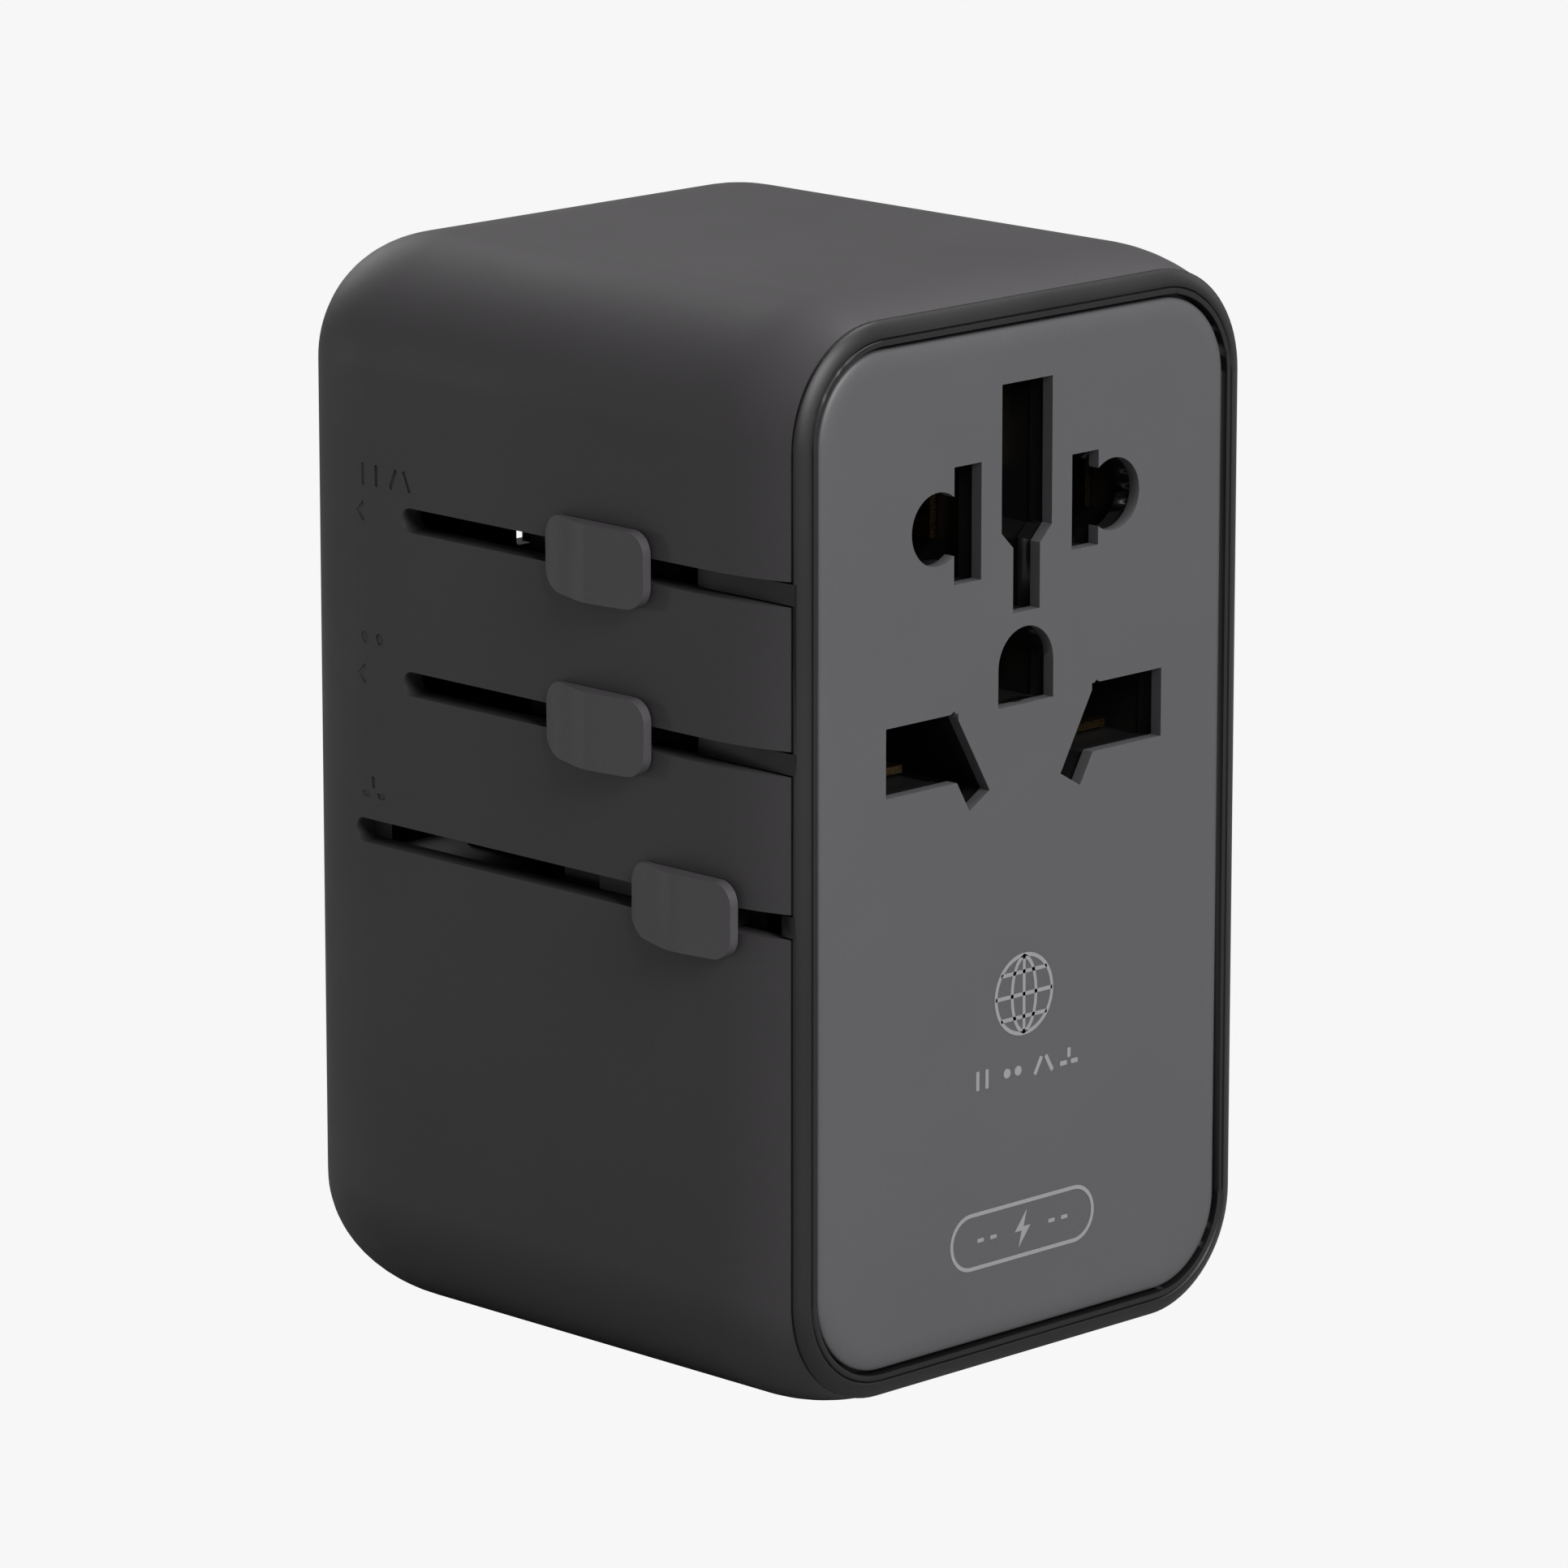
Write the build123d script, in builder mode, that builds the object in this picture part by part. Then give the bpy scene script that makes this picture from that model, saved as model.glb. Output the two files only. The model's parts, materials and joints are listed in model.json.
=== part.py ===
from build123d import *
import math
import os

# Universal travel adapter, in millimetres. X runs along the socket face, with the sliders at -X.
# Y runs from the socket face to the pin face, and Z is up. The base's middle is the origin.
# "Depth" in the names below is the distance behind the socket face.

# --- Driving dimensions: outside ---
body_width = 50.4
body_depth = 55.0
body_height = 84.5
edge_radius = 10.0          # long edges, running front to back
wall = 2.0
back_wall = 2.0
front_draw_in = 1.3         # how far the shell closes in towards the bezel
front_draw_depth = 8.0
back_round_in = 5.4
back_round_depth = 10.2
bezel_seam_depth = 1.0
bezel_slope_in = 1.35
bezel_pocket_in = 1.85      # from the bezel's outer edge to the panel's pocket
panel_gap = 0.3
panel_thickness = 1.0
adhesive_thickness = 0.2
tray_thickness = 1.4

# --- Driving dimensions: socket holes, as heights above the base ---
euro_line_height = 66.9
euro_pin_offset = 9.5
euro_hole_radius = 2.8
blade_offset = 6.35
blade_slot_width = 2.9
blade_slot_tall = 8.9
blade_slot_short = 7.3
british_line_height = 50.0
british_pin_offset = 11.11
british_earth_rise = 22.23
pin_slot_clearance = 0.67
aussie_blade_offset = 6.86
aussie_line_drop = 14.27    # from the Australian earth slot's middle to the live blades
aussie_slot_length = 7.7
aussie_slot_width = 2.5
aussie_tilt = 30.0
earth_slot_width = 5.44
earth_slot_narrow_height = 63.2
earth_slot_shoulder = 1.3
ground_hole_width = 5.97
ground_hole_bottom_height = 52.3
ground_hole_height = 5.9

# --- Driving dimensions: plug pins ---
british_pin_size = (6.35, 3.975)
british_earth_size = (3.975, 7.95)
british_pin_length = 17.7
british_earth_length = 22.73
euro_pin_radius = 2.0
euro_pin_length = 19.0
blade_size = (1.5, 6.35)
blade_length = 17.0
sleeve_thickness = 0.4
sleeve_length = 9.5
blade_shaft_radius = 2.0
blade_turn = 30.0

# --- Driving dimensions: sliders ---
us_height = 64.0
eu_height = 51.3
uk_height = 39.0
short_travel = 19.5
long_travel = 24.0
knob_length = 11.1
knob_height = 5.9
knob_stand = 1.5
knob_crest_length = 6.4
knob_front_depth = 14.1
uk_knob_front_depth = 5.0
slot_height = 1.9
short_slot_end = 41.4
long_slot_end = 47.0
tongue_end = 10.6
uk_tongue_end = 1.9
stem_length = 6.0
stem_inset = 1.2
stem_thickness = 1.5
rail_height = 5.2
rail_thickness = 1.8
rail_end_depth = 28.0
uk_rail_end_depth = 22.5
base_thickness = 5.0
uk_base_thickness = 3.2
bridge_inner_x = -15.5

# --- Driving dimensions: inside ---
core_rear_depth = 22.9
contact_thickness = 0.6
frame_wall = 1.0
shelf_thickness = 1.0
floor_top_height = 35.3
floor_thickness = 1.2
boss_inset = 4.5
boss_radius = 2.6
boss_length = 17.0
screw_radius = 1.0
usb_depth_a = (11.5, 20.5)
usb_depth_c = (29.0, 36.5)
usb_a_size = (13.1, 5.7)
usb_c_size = (8.94, 3.26)
usb_recess = 0.9
usb_length = 14.7
usb_wall = 0.4
board_thickness = 1.6
main_board_height = 31.0
main_board_half_width = 20.0
main_board_depths = (5.0, 47.0)
port_board_half_width = 14.0
port_board_depths = (6.0, 41.5)
board_post_radius = 2.2

# --- Named clearances ---
slide_clearance = 0.3
shaft_clearance = 0.06
pin_clearance = 0.35
wiper_clearance = 0.1
port_clearance = 0.2
knob_clearance = 0.2
seat_clearance = 0.15
stop_gap = 0.3              # what a slider's block leaves to the back wall at its limit

# --- Worked out from the values above ---
front_y = -body_depth / 2
half_width = body_width / 2
seam_in = front_draw_in
pocket_in = seam_in + bezel_pocket_in
panel_in = pocket_in + panel_gap
tray_front_depth = panel_thickness + adhesive_thickness
tray_rear_depth = tray_front_depth + tray_thickness
inner_back_depth = body_depth - back_wall
corner_x = half_width - edge_radius
corner_z = body_height - edge_radius
boss_x = corner_x + boss_inset / math.sqrt(2)
boss_top = corner_z + boss_inset / math.sqrt(2)
boss_spots = [(side * boss_x, z) for side in (-1, 1) for z in (boss_top, body_height - boss_top)]
frame_front_depth = core_rear_depth + contact_thickness
frame_rear_depth = frame_front_depth + frame_wall
busbar_rear_depth = frame_rear_depth + contact_thickness
stem_depth = knob_front_depth + stem_inset
uk_stem_depth = uk_knob_front_depth + stem_inset
wall_inner_x = half_width - wall
rail_outer_x = -(wall_inner_x - 0.5)
rail_inner_x = rail_outer_x + rail_thickness
base_reach = half_width - back_round_in - slide_clearance
base_rear_depth = inner_back_depth - stop_gap - short_travel
uk_base_rear_depth = inner_back_depth - stop_gap - long_travel
uk_base_front_depth = uk_base_rear_depth - uk_base_thickness
uk_earth_height = uk_height + british_earth_rise
uk_bar_bottom = uk_earth_height - british_earth_size[1] / 2
uk_bar_top = uk_bar_bottom + 2.7
upper_shelf_top = uk_bar_bottom - contact_thickness - slide_clearance
lower_shelf_top = eu_height - 5.0
uk_arm_x = (base_reach - 3.6, base_reach)
eu_block_right = uk_arm_x[0] - 0.6
socket_earth_height = british_line_height + british_earth_rise
aussie_line_height = earth_slot_narrow_height - aussie_line_drop
core_x = (rail_inner_x + 0.5, wall_inner_x - 0.8)
core_bottom_height = uk_height + rail_height / 2 + 1.2
core_shoulder_height = boss_top - boss_radius - 1.0
core_top_height = body_height - wall - 1.3
fuse_spot = (10.0, core_top_height - 3.6)
usb_top_height = usb_recess + usb_length
port_board_top = usb_top_height + board_thickness
port_posts = [(side * 11.4, 25.0) for side in (-1, 1)]
main_board_top = main_board_height + board_thickness
floor_bottom_height = floor_top_height - floor_thickness
board_spots = [(side * 17.0, depth) for side in (-1, 1) for depth in (9.0, 43.0)]

os.makedirs("parts", exist_ok=True)


def front_plane(depth):
    """A plane facing the front at a depth; its own x and y are the object's X and Z."""
    return Plane(origin=(0, front_y + depth, 0), x_dir=(1, 0, 0), z_dir=(0, -1, 0))


def span_box(x_span, depth_span, z_span, mode=Mode.ADD):
    """A box between two corners, added to or cut from the part being built."""
    middle = [(low + high) / 2 for low, high in (x_span, depth_span, z_span)]
    with Locations((middle[0], front_y + middle[1], middle[2])):
        Box(x_span[1] - x_span[0], depth_span[1] - depth_span[0], z_span[1] - z_span[0], mode=mode)


def rod(x, z, radius, depth_span, mode=Mode.ADD):
    """A round bar along Y."""
    with Locations(Location((x, front_y + sum(depth_span) / 2, z), (90, 0, 0))):
        Cylinder(radius, depth_span[1] - depth_span[0], mode=mode)


def upright(x, depth, radius, z_span, mode=Mode.ADD):
    """A round bar along Z."""
    with Locations((x, front_y + depth, sum(z_span) / 2)):
        Cylinder(radius, z_span[1] - z_span[0], mode=mode)


def draw_in(depth):
    """How far the outline stands inside the full width at a depth."""
    if depth < front_draw_depth:
        share = (front_draw_depth - depth) / (front_draw_depth - bezel_seam_depth)
        return front_draw_in * share ** 2
    rear = body_depth - depth
    if rear < back_round_depth:
        share = (back_round_depth - rear) / back_round_depth
        return back_round_in * (1 - math.sqrt(1 - share ** 2))
    return 0.0


def outline(inset):
    """The body's rounded outline, seen from the front, moved in by an inset."""
    with Locations((0, body_height / 2)):
        RectangleRounded(
            body_width - 2 * inset,
            body_height - 2 * inset,
            max(edge_radius - inset, 0.6),
        )


def save(part, name):
    """Label a finished piece and write it."""
    part.label = name
    export_step(part, f"parts/{name}.step")


def socket_holes(grow):
    """The socket's openings, on a sketch seen from the front."""
    for side, tall in ((-1, blade_slot_tall), (1, blade_slot_short)):
        with Locations((side * blade_offset, euro_line_height)):
            Rectangle(blade_slot_width + 2 * grow, tall + 2 * grow)
        with Locations((side * euro_pin_offset, euro_line_height)):
            Circle(euro_hole_radius + grow)
        with Locations((side * british_pin_offset, british_line_height)):
            Rectangle(
                british_pin_size[0] + 2 * (pin_slot_clearance + grow),
                british_pin_size[1] + 2 * (pin_slot_clearance + grow),
            )
        tilted_spot = Location((side * aussie_blade_offset, aussie_line_height), -side * aussie_tilt)
        with Locations(tilted_spot):
            Rectangle(aussie_slot_width + 2 * grow, aussie_slot_length + 2 * grow)
    slot_top = socket_earth_height + british_earth_size[1] / 2 + pin_slot_clearance
    slot_bottom = socket_earth_height - 3 * british_earth_size[1] / 4 - pin_slot_clearance
    with Locations((0, (slot_top + slot_bottom) / 2)):
        Rectangle(earth_slot_width + 2 * grow, slot_top - slot_bottom + 2 * grow)
    with Locations((0, slot_bottom)):
        Trapezoid(
            earth_slot_width + 2 * grow,
            earth_slot_shoulder + 2 * grow,
            50,
            rotation=180,
            align=(Align.CENTER, Align.MIN),
        )
    narrow_bottom = earth_slot_narrow_height - aussie_slot_length / 2
    with Locations((0, (slot_bottom + narrow_bottom) / 2)):
        Rectangle(blade_slot_width + 2 * grow, slot_bottom - narrow_bottom + 2 * grow)
    ground_radius = ground_hole_width / 2
    ground_straight = ground_hole_height - ground_radius
    with Locations((0, ground_hole_bottom_height + ground_straight / 2)):
        Rectangle(ground_hole_width + 2 * grow, ground_straight + 2 * grow)
    with Locations((0, ground_hole_bottom_height + ground_straight)):
        Circle(ground_radius + grow)


# --- Outer shell: one moulded bucket, open at the front ---
slots = (
    (us_height, short_slot_end, tongue_end),
    (eu_height, short_slot_end, tongue_end),
    (uk_height, long_slot_end, uk_tongue_end),
)
round_depths = [body_depth - back_round_depth * (1 - math.sin(math.radians(a))) for a in range(0, 91, 15)]
last_step = len(round_depths) - 1
inner_depths = [depth - back_wall * step / last_step for step, depth in enumerate(round_depths)]

with BuildPart() as outer_shell:
    for step in range(4):
        depth = bezel_seam_depth + (front_draw_depth - bezel_seam_depth) * step / 3
        with BuildSketch(front_plane(depth)):
            outline(draw_in(depth))
    loft()
    with BuildSketch(front_plane(front_draw_depth)):
        outline(0)
    extrude(amount=front_draw_depth - round_depths[0])
    for depth in round_depths:
        with BuildSketch(front_plane(depth)):
            outline(draw_in(depth))
    loft()
    with BuildSketch(front_plane(0)):
        outline(wall)
    extrude(amount=-inner_depths[0], mode=Mode.SUBTRACT)
    for depth, outer_depth in zip(inner_depths, round_depths):
        with BuildSketch(front_plane(depth)):
            outline(wall + draw_in(outer_depth) * 0.9)
    loft(mode=Mode.SUBTRACT)
    for x, z in boss_spots:
        boss_span = (tray_rear_depth + seat_clearance, tray_rear_depth + boss_length)
        rod(x, z, boss_radius, boss_span)
        lean = 45 if (x > 0) == (z > body_height / 2) else -45
        with BuildSketch(front_plane(boss_span[0])):
            reach = 1 if z > body_height / 2 else -1
            with Locations(Location((x + math.copysign(1.8, x), z + reach * 1.8), lean)):
                Rectangle(3.6, 2.4)
        extrude(amount=boss_span[0] - boss_span[1])
        rod(x, z, screw_radius, (boss_span[0], boss_span[0] + 11.0), Mode.SUBTRACT)
    for height, slot_end, _ in slots:
        for side in (-1, 1):
            rib = height + side * (rail_height / 2 + slide_clearance + 0.5)
            span_box((-wall_inner_x - 0.5, rail_inner_x - 0.4), (4.0, 46.0), (rib - 0.5, rib + 0.5))
        span_box(
            (-half_width - 1, -wall_inner_x + 0.01),
            (0, slot_end - slot_height / 2),
            (height - slot_height / 2, height + slot_height / 2),
            Mode.SUBTRACT,
        )
        with Locations(Location((-half_width, front_y + slot_end - slot_height / 2, height), (0, 90, 0))):
            Cylinder(slot_height / 2, 2 * wall + 0.02, mode=Mode.SUBTRACT)
    with BuildSketch(front_plane(body_depth + 1)):
        for side in (-1, 1):
            for turn in range(5):
                angle = side * blade_turn * turn / 4
                with Locations(Location((side * blade_offset, us_height), angle)):
                    Rectangle(blade_size[0] + 2 * pin_clearance, blade_size[1] + 2 * pin_clearance)
            with Locations((side * euro_pin_offset, eu_height)):
                Circle(euro_pin_radius + pin_clearance)
            with Locations((side * british_pin_offset, uk_height)):
                Rectangle(british_pin_size[0] + 2 * pin_clearance, british_pin_size[1] + 2 * pin_clearance)
        with Locations((0, uk_earth_height)):
            Rectangle(british_earth_size[0] + 2 * pin_clearance, british_earth_size[1] + 2 * pin_clearance)
    extrude(amount=back_wall + 2, mode=Mode.SUBTRACT)
    with BuildSketch(Plane.XY.offset(-1)):
        for depth in usb_depth_a:
            with Locations((0, front_y + depth)):
                RectangleRounded(
                    usb_a_size[0] + 2 * port_clearance,
                    usb_a_size[1] + 2 * port_clearance,
                    0.6,
                )
        for depth in usb_depth_c:
            with Locations((0, front_y + depth)):
                RectangleRounded(
                    usb_c_size[0] + 2 * port_clearance,
                    usb_c_size[1] + 2 * port_clearance,
                    usb_c_size[1] / 2 + port_clearance - 0.01,
                )
    extrude(amount=wall + 1.01, mode=Mode.SUBTRACT)
    for x, depth in port_posts:
        with BuildSketch(Plane.XY.offset(wall - 0.1)):
            with Locations((x, front_y + depth)):
                Circle(board_post_radius)
        extrude(amount=usb_top_height - wall + 0.1)
        upright(x, depth, screw_radius - 0.1, (usb_top_height - 6.0, usb_top_height), Mode.SUBTRACT)
save(outer_shell.part, "outer_shell")

# --- Bezel: the black rim, its tray behind the panel and the tongues that close the slots ---
with BuildPart() as front_bezel:
    with BuildSketch(front_plane(bezel_seam_depth)):
        outline(seam_in)
    with BuildSketch(front_plane(0.05)):
        outline(seam_in + bezel_slope_in)
    loft()
    with BuildSketch(front_plane(bezel_seam_depth)):
        outline(wall + seat_clearance)
    extrude(amount=bezel_seam_depth - tray_rear_depth)
    with BuildSketch(front_plane(-1)):
        outline(pocket_in)
    extrude(amount=-1 - tray_front_depth, mode=Mode.SUBTRACT)
    for height, _, end in slots:
        span_box(
            (-half_width + 0.6 + front_draw_in / 2, -wall_inner_x + 0.3),
            (bezel_seam_depth, end),
            (height - slot_height / 2 + seat_clearance, height + slot_height / 2 - seat_clearance),
        )
    with BuildSketch(front_plane(0)):
        socket_holes(0.25)
    extrude(amount=-tray_rear_depth - 1, mode=Mode.SUBTRACT)
    for x, z in boss_spots:
        rod(x, z, screw_radius + 0.1, (0, tray_rear_depth + 1), Mode.SUBTRACT)
        rod(x, z, 1.95, (0, tray_front_depth + 0.8), Mode.SUBTRACT)
save(front_bezel.part, "front_bezel")

with BuildPart() as front_screws:
    for x, z in boss_spots:
        rod(x, z, 1.8, (tray_front_depth + 0.1, tray_front_depth + 0.8))
        rod(x, z, screw_radius - 0.05, (tray_front_depth + 0.8, tray_rear_depth + 9.0))
        rod(x, z, 0.7, (tray_front_depth, tray_front_depth + 0.5), Mode.SUBTRACT)
save(front_screws.part, "front_screws")

with BuildPart() as panel_adhesive:
    with BuildSketch(front_plane(panel_thickness)):
        outline(panel_in + 0.6)
        for x, z in boss_spots:
            with Locations((x, z)):
                Circle(2.0, mode=Mode.SUBTRACT)
    extrude(amount=-adhesive_thickness)
    with BuildSketch(front_plane(0)):
        socket_holes(0.5)
    extrude(amount=-tray_front_depth, mode=Mode.SUBTRACT)
save(panel_adhesive.part, "panel_adhesive")

with BuildPart() as front_panel:
    with BuildSketch(front_plane(0)):
        outline(panel_in)
    extrude(amount=-panel_thickness)
    rim = front_panel.faces().sort_by(Axis.Y)[0].outer_wire().edges()
    fillet(rim, radius=panel_thickness * 0.6)
    with BuildSketch(front_plane(0)):
        socket_holes(0)
    extrude(amount=-panel_thickness, mode=Mode.SUBTRACT)
save(front_panel.part, "front_panel")

# --- Where the busbars, rivets and frame screws stand ---
rivet_spots = {
    "live": ((10.0, 58.5), (10.0, 74.2)),
    "neutral": ((-10.0, 58.5), (-10.0, 74.2)),
    "earth": ((0.0, 59.0), (0.0, 62.5)),
}
rivet_radius = 0.9
busbar_x = (6.4, 13.0)
finger_x = (9.0, 12.5)
finger_end_depth = 48.0
us_block_top = us_height + 6.1
us_finger_height = {"live": us_block_top + slide_clearance, "neutral": upper_shelf_top}
core_screw_spots = [(side * 17.5, z) for side in (-1, 1) for z in (50.0, 71.5)]

# --- Socket core: the black block with the contact wells ---
leaf_gap = 2.15             # half the height that a British pin's leaves leave free
blade_leaf_x = (4.0, 12.9)  # where the leaves stand beside the two-pin well
core_span = (tray_rear_depth, core_rear_depth)


def core_outline(depth_span, mode=Mode.ADD):
    """The stepped block that clears the corner screws."""
    span_box(core_x, depth_span, (core_bottom_height, core_shoulder_height), mode)
    span_box((-14.5, 14.5), depth_span, (core_shoulder_height, core_top_height), mode)


with BuildPart() as socket_core:
    core_outline(core_span)
    with BuildSketch(front_plane(core_span[0])):
        socket_holes(0.35)
        for side in (-1, 1):
            with Locations((side * british_pin_offset, british_line_height)):
                Rectangle(2 * 3.9, 2 * (leaf_gap + contact_thickness + 0.15))
            with Locations((side * sum(blade_leaf_x) / 2, euro_line_height)):
                Rectangle(blade_leaf_x[1] - blade_leaf_x[0] + 0.3, blade_slot_tall + 0.6)
    extrude(amount=core_span[0] - core_span[1], mode=Mode.SUBTRACT)
    rod(*fuse_spot, 2.9, (core_span[0] + 0.8, core_span[1]), Mode.SUBTRACT)
    for x, z in core_screw_spots:
        rod(x, z, screw_radius, (core_rear_depth - 8.0, core_rear_depth), Mode.SUBTRACT)
save(socket_core.part, "socket_core")

# --- Inner frame: the wall behind the core, two shelves and the floor that carry the sliders ---
with BuildPart() as inner_frame:
    core_outline((frame_front_depth, frame_rear_depth))
    span_box((bridge_inner_x + 1.5, core_x[1]), (frame_front_depth, frame_rear_depth),
             (floor_top_height - floor_thickness, core_bottom_height))
    for top in (upper_shelf_top, lower_shelf_top):
        span_box(
            (-base_reach, eu_block_right),
            (frame_rear_depth, inner_back_depth - 1.0),
            (top - shelf_thickness, top),
        )
    for side in (-1, 1):
        notch_x = sorted((
            side * (busbar_x[0] - seat_clearance),
            side * (busbar_x[1] + seat_clearance),
        ))
        notch_span = (frame_rear_depth, busbar_rear_depth + seat_clearance)
        span_box(notch_x, notch_span, (floor_top_height, core_top_height), Mode.SUBTRACT)
    floor_z = (floor_top_height - floor_thickness, floor_top_height)
    span_box((core_x[0], core_x[1]), (tray_rear_depth + 0.4, 46.0), floor_z)
    span_box((-base_reach, base_reach), (46.0, inner_back_depth - 1.0), floor_z)
    for spots in rivet_spots.values():
        for x, z in spots:
            rod(x, z, rivet_radius, (frame_front_depth, frame_rear_depth), Mode.SUBTRACT)
    for x, z in core_screw_spots:
        rod(x, z, screw_radius + 0.1, (frame_front_depth, frame_rear_depth), Mode.SUBTRACT)
save(inner_frame.part, "inner_frame")

with BuildPart() as core_screws:
    for x, z in core_screw_spots:
        rod(x, z, 1.7, (frame_rear_depth, frame_rear_depth + 0.8))
        rod(x, z, screw_radius - 0.05, (core_rear_depth - 7.0, frame_rear_depth))
        rod(x, z, 0.6, (frame_rear_depth + 0.4, frame_rear_depth + 0.9), Mode.SUBTRACT)
save(core_screws.part, "core_screws")

# --- Contacts in the core, one brass strip for each pole, with leaves that reach forwards ---
def side_span(side, low, high):
    """A span of X on one side of the middle."""
    return tuple(sorted((side * low, side * high)))


leaf_front_depth = tray_rear_depth + 3.0
strip_span = (core_rear_depth, frame_front_depth)
for side, name in ((1, "live"), (-1, "neutral")):

    with BuildPart() as contact:
        strip_x = side_span(side, british_pin_offset - 3.6, british_pin_offset + 3.6)
        top = rivet_spots[name][1][1] + 1.6
        span_box(strip_x, strip_span, (british_line_height - 3.2, top))
        for lift in (-1, 1):
            low = british_line_height + lift * (leaf_gap + contact_thickness / 2) - contact_thickness / 2
            span_box(strip_x, (leaf_front_depth, core_rear_depth), (low, low + contact_thickness))
        leaf_z = (euro_line_height - 2.2, euro_line_height + 2.2)
        outer = side_span(side, blade_leaf_x[1] - contact_thickness, blade_leaf_x[1])
        inner = side_span(side, blade_leaf_x[0], blade_leaf_x[0] + contact_thickness)
        span_box(outer, (leaf_front_depth, core_rear_depth), leaf_z)
        span_box(inner, (leaf_front_depth, frame_front_depth), leaf_z)
        span_box(side_span(side, blade_leaf_x[0], 8.0), strip_span, leaf_z)
        for x, z in rivet_spots[name]:
            rod(x, z, rivet_radius, strip_span, Mode.SUBTRACT)
    save(contact.part, f"{name}_contact")

    with BuildPart() as busbar:
        bar_span = (frame_rear_depth, busbar_rear_depth)
        span_box(side_span(side, *busbar_x), bar_span, (floor_top_height, rivet_spots[name][1][1] + 1.4))
        for height in (floor_top_height, lower_shelf_top, us_finger_height[name]):
            finger_z = (height, height + contact_thickness)
            span_box(side_span(side, *finger_x), (frame_rear_depth, finger_end_depth), finger_z)
        for x, z in rivet_spots[name]:
            rod(x, z, rivet_radius, bar_span, Mode.SUBTRACT)
    save(busbar.part, f"{name}_busbar")

earth_leaf_x = (2.45, 2.95)
with BuildPart() as earth_contact:
    ground_middle = ground_hole_bottom_height + ground_hole_height / 2
    strip_z = (ground_hole_bottom_height, socket_earth_height + 4)
    span_box((-earth_leaf_x[1], earth_leaf_x[1]), strip_span, strip_z)
    for side in (-1, 1):
        leaf_x = sorted((side * earth_leaf_x[0], side * earth_leaf_x[1]))
        narrow_x = sorted((side * 1.15, side * 1.65))
        for x_span, z_span in (
            (leaf_x, (socket_earth_height - 3.0, socket_earth_height + 3.0)),
            (leaf_x, (ground_middle - 2.2, ground_middle + 1.2)),
            (narrow_x, (earth_slot_narrow_height - 2.8, earth_slot_narrow_height + 2.0)),
        ):
            span_box(x_span, (leaf_front_depth, core_rear_depth), z_span)
    for x, z in rivet_spots["earth"]:
        rod(x, z, rivet_radius, strip_span, Mode.SUBTRACT)
save(earth_contact.part, "earth_contact")

with BuildPart() as earth_busbar:
    bar_span = (frame_rear_depth, busbar_rear_depth)
    span_box((-2.0, 4.6), bar_span, (upper_shelf_top, rivet_spots["earth"][1][1] + 1.6))
    finger_z = (upper_shelf_top, upper_shelf_top + contact_thickness)
    span_box((1.0, 4.6), (frame_rear_depth, finger_end_depth), finger_z)
    for x, z in rivet_spots["earth"]:
        rod(x, z, rivet_radius, bar_span, Mode.SUBTRACT)
save(earth_busbar.part, "earth_busbar")

with BuildPart() as busbar_rivets:
    for spots in rivet_spots.values():
        for x, z in spots:
            rod(x, z, rivet_radius - 0.03, (core_rear_depth, busbar_rear_depth))
            rod(x, z, rivet_radius + 0.5, (busbar_rear_depth, busbar_rear_depth + 0.2))
save(busbar_rivets.part, "busbar_rivets")

# --- Mains fuse, in its well in the core ---
fuse_radius = 2.5
fuse_span = (5.0, 20.0)
cap_length = 4.5
with BuildPart() as fuse_tube:
    rod(*fuse_spot, fuse_radius - 0.2, (fuse_span[0] + 0.3, fuse_span[1] - 0.3))
save(fuse_tube.part, "fuse_tube")

with BuildPart() as fuse_caps:
    for low, high, closed in (
        (fuse_span[0], fuse_span[0] + cap_length, 1),
        (fuse_span[1] - cap_length, fuse_span[1], -1),
    ):
        rod(*fuse_spot, fuse_radius, (low, high))
        well = (low + 0.3, high) if closed > 0 else (low, high - 0.3)
        rod(*fuse_spot, fuse_radius - 0.17, well, Mode.SUBTRACT)
save(fuse_caps.part, "fuse_caps")

with BuildPart() as fuse_clips:
    for low in (fuse_span[0] + 1.0, fuse_span[1] - cap_length + 0.6):
        rod(*fuse_spot, 2.85, (low, low + 2.6))
        rod(*fuse_spot, fuse_radius + 0.03, (low, low + 2.6), Mode.SUBTRACT)
    span_box(
        (fuse_spot[0] - 1.6, fuse_spot[0] + 1.6),
        (fuse_span[0], fuse_span[1]),
        (fuse_spot[1] + 1.2, fuse_spot[1] + 3.0),
        Mode.SUBTRACT,
    )
save(fuse_clips.part, "fuse_clips")

# --- Sliders: a carriage with its rail along the slot, its knob and its pins ---
short_slider = (knob_front_depth, stem_depth, rail_end_depth, base_rear_depth, base_thickness)
long_slider = (uk_knob_front_depth, uk_stem_depth, uk_rail_end_depth, uk_base_rear_depth, uk_base_thickness)
sliders = {
    "us": (us_height, *short_slider),
    "eu": (eu_height, *short_slider),
    "uk": (uk_height, *long_slider),
}
bridge_front = {"us": busbar_rear_depth + 0.5, "eu": busbar_rear_depth + 0.5, "uk": uk_rail_end_depth - 4.0}
sole_gap = contact_thickness + slide_clearance
us_block_bottom = upper_shelf_top + sole_gap
eu_block_z = (lower_shelf_top + sole_gap, upper_shelf_top - shelf_thickness - slide_clearance)
uk_block_z = (floor_top_height + sole_gap, lower_shelf_top - shelf_thickness - slide_clearance)
us_inner_x = british_earth_size[0] / 2 + 0.5
us_bridge_bottom = uk_earth_height + british_earth_size[1] / 2 + 0.7


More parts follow.
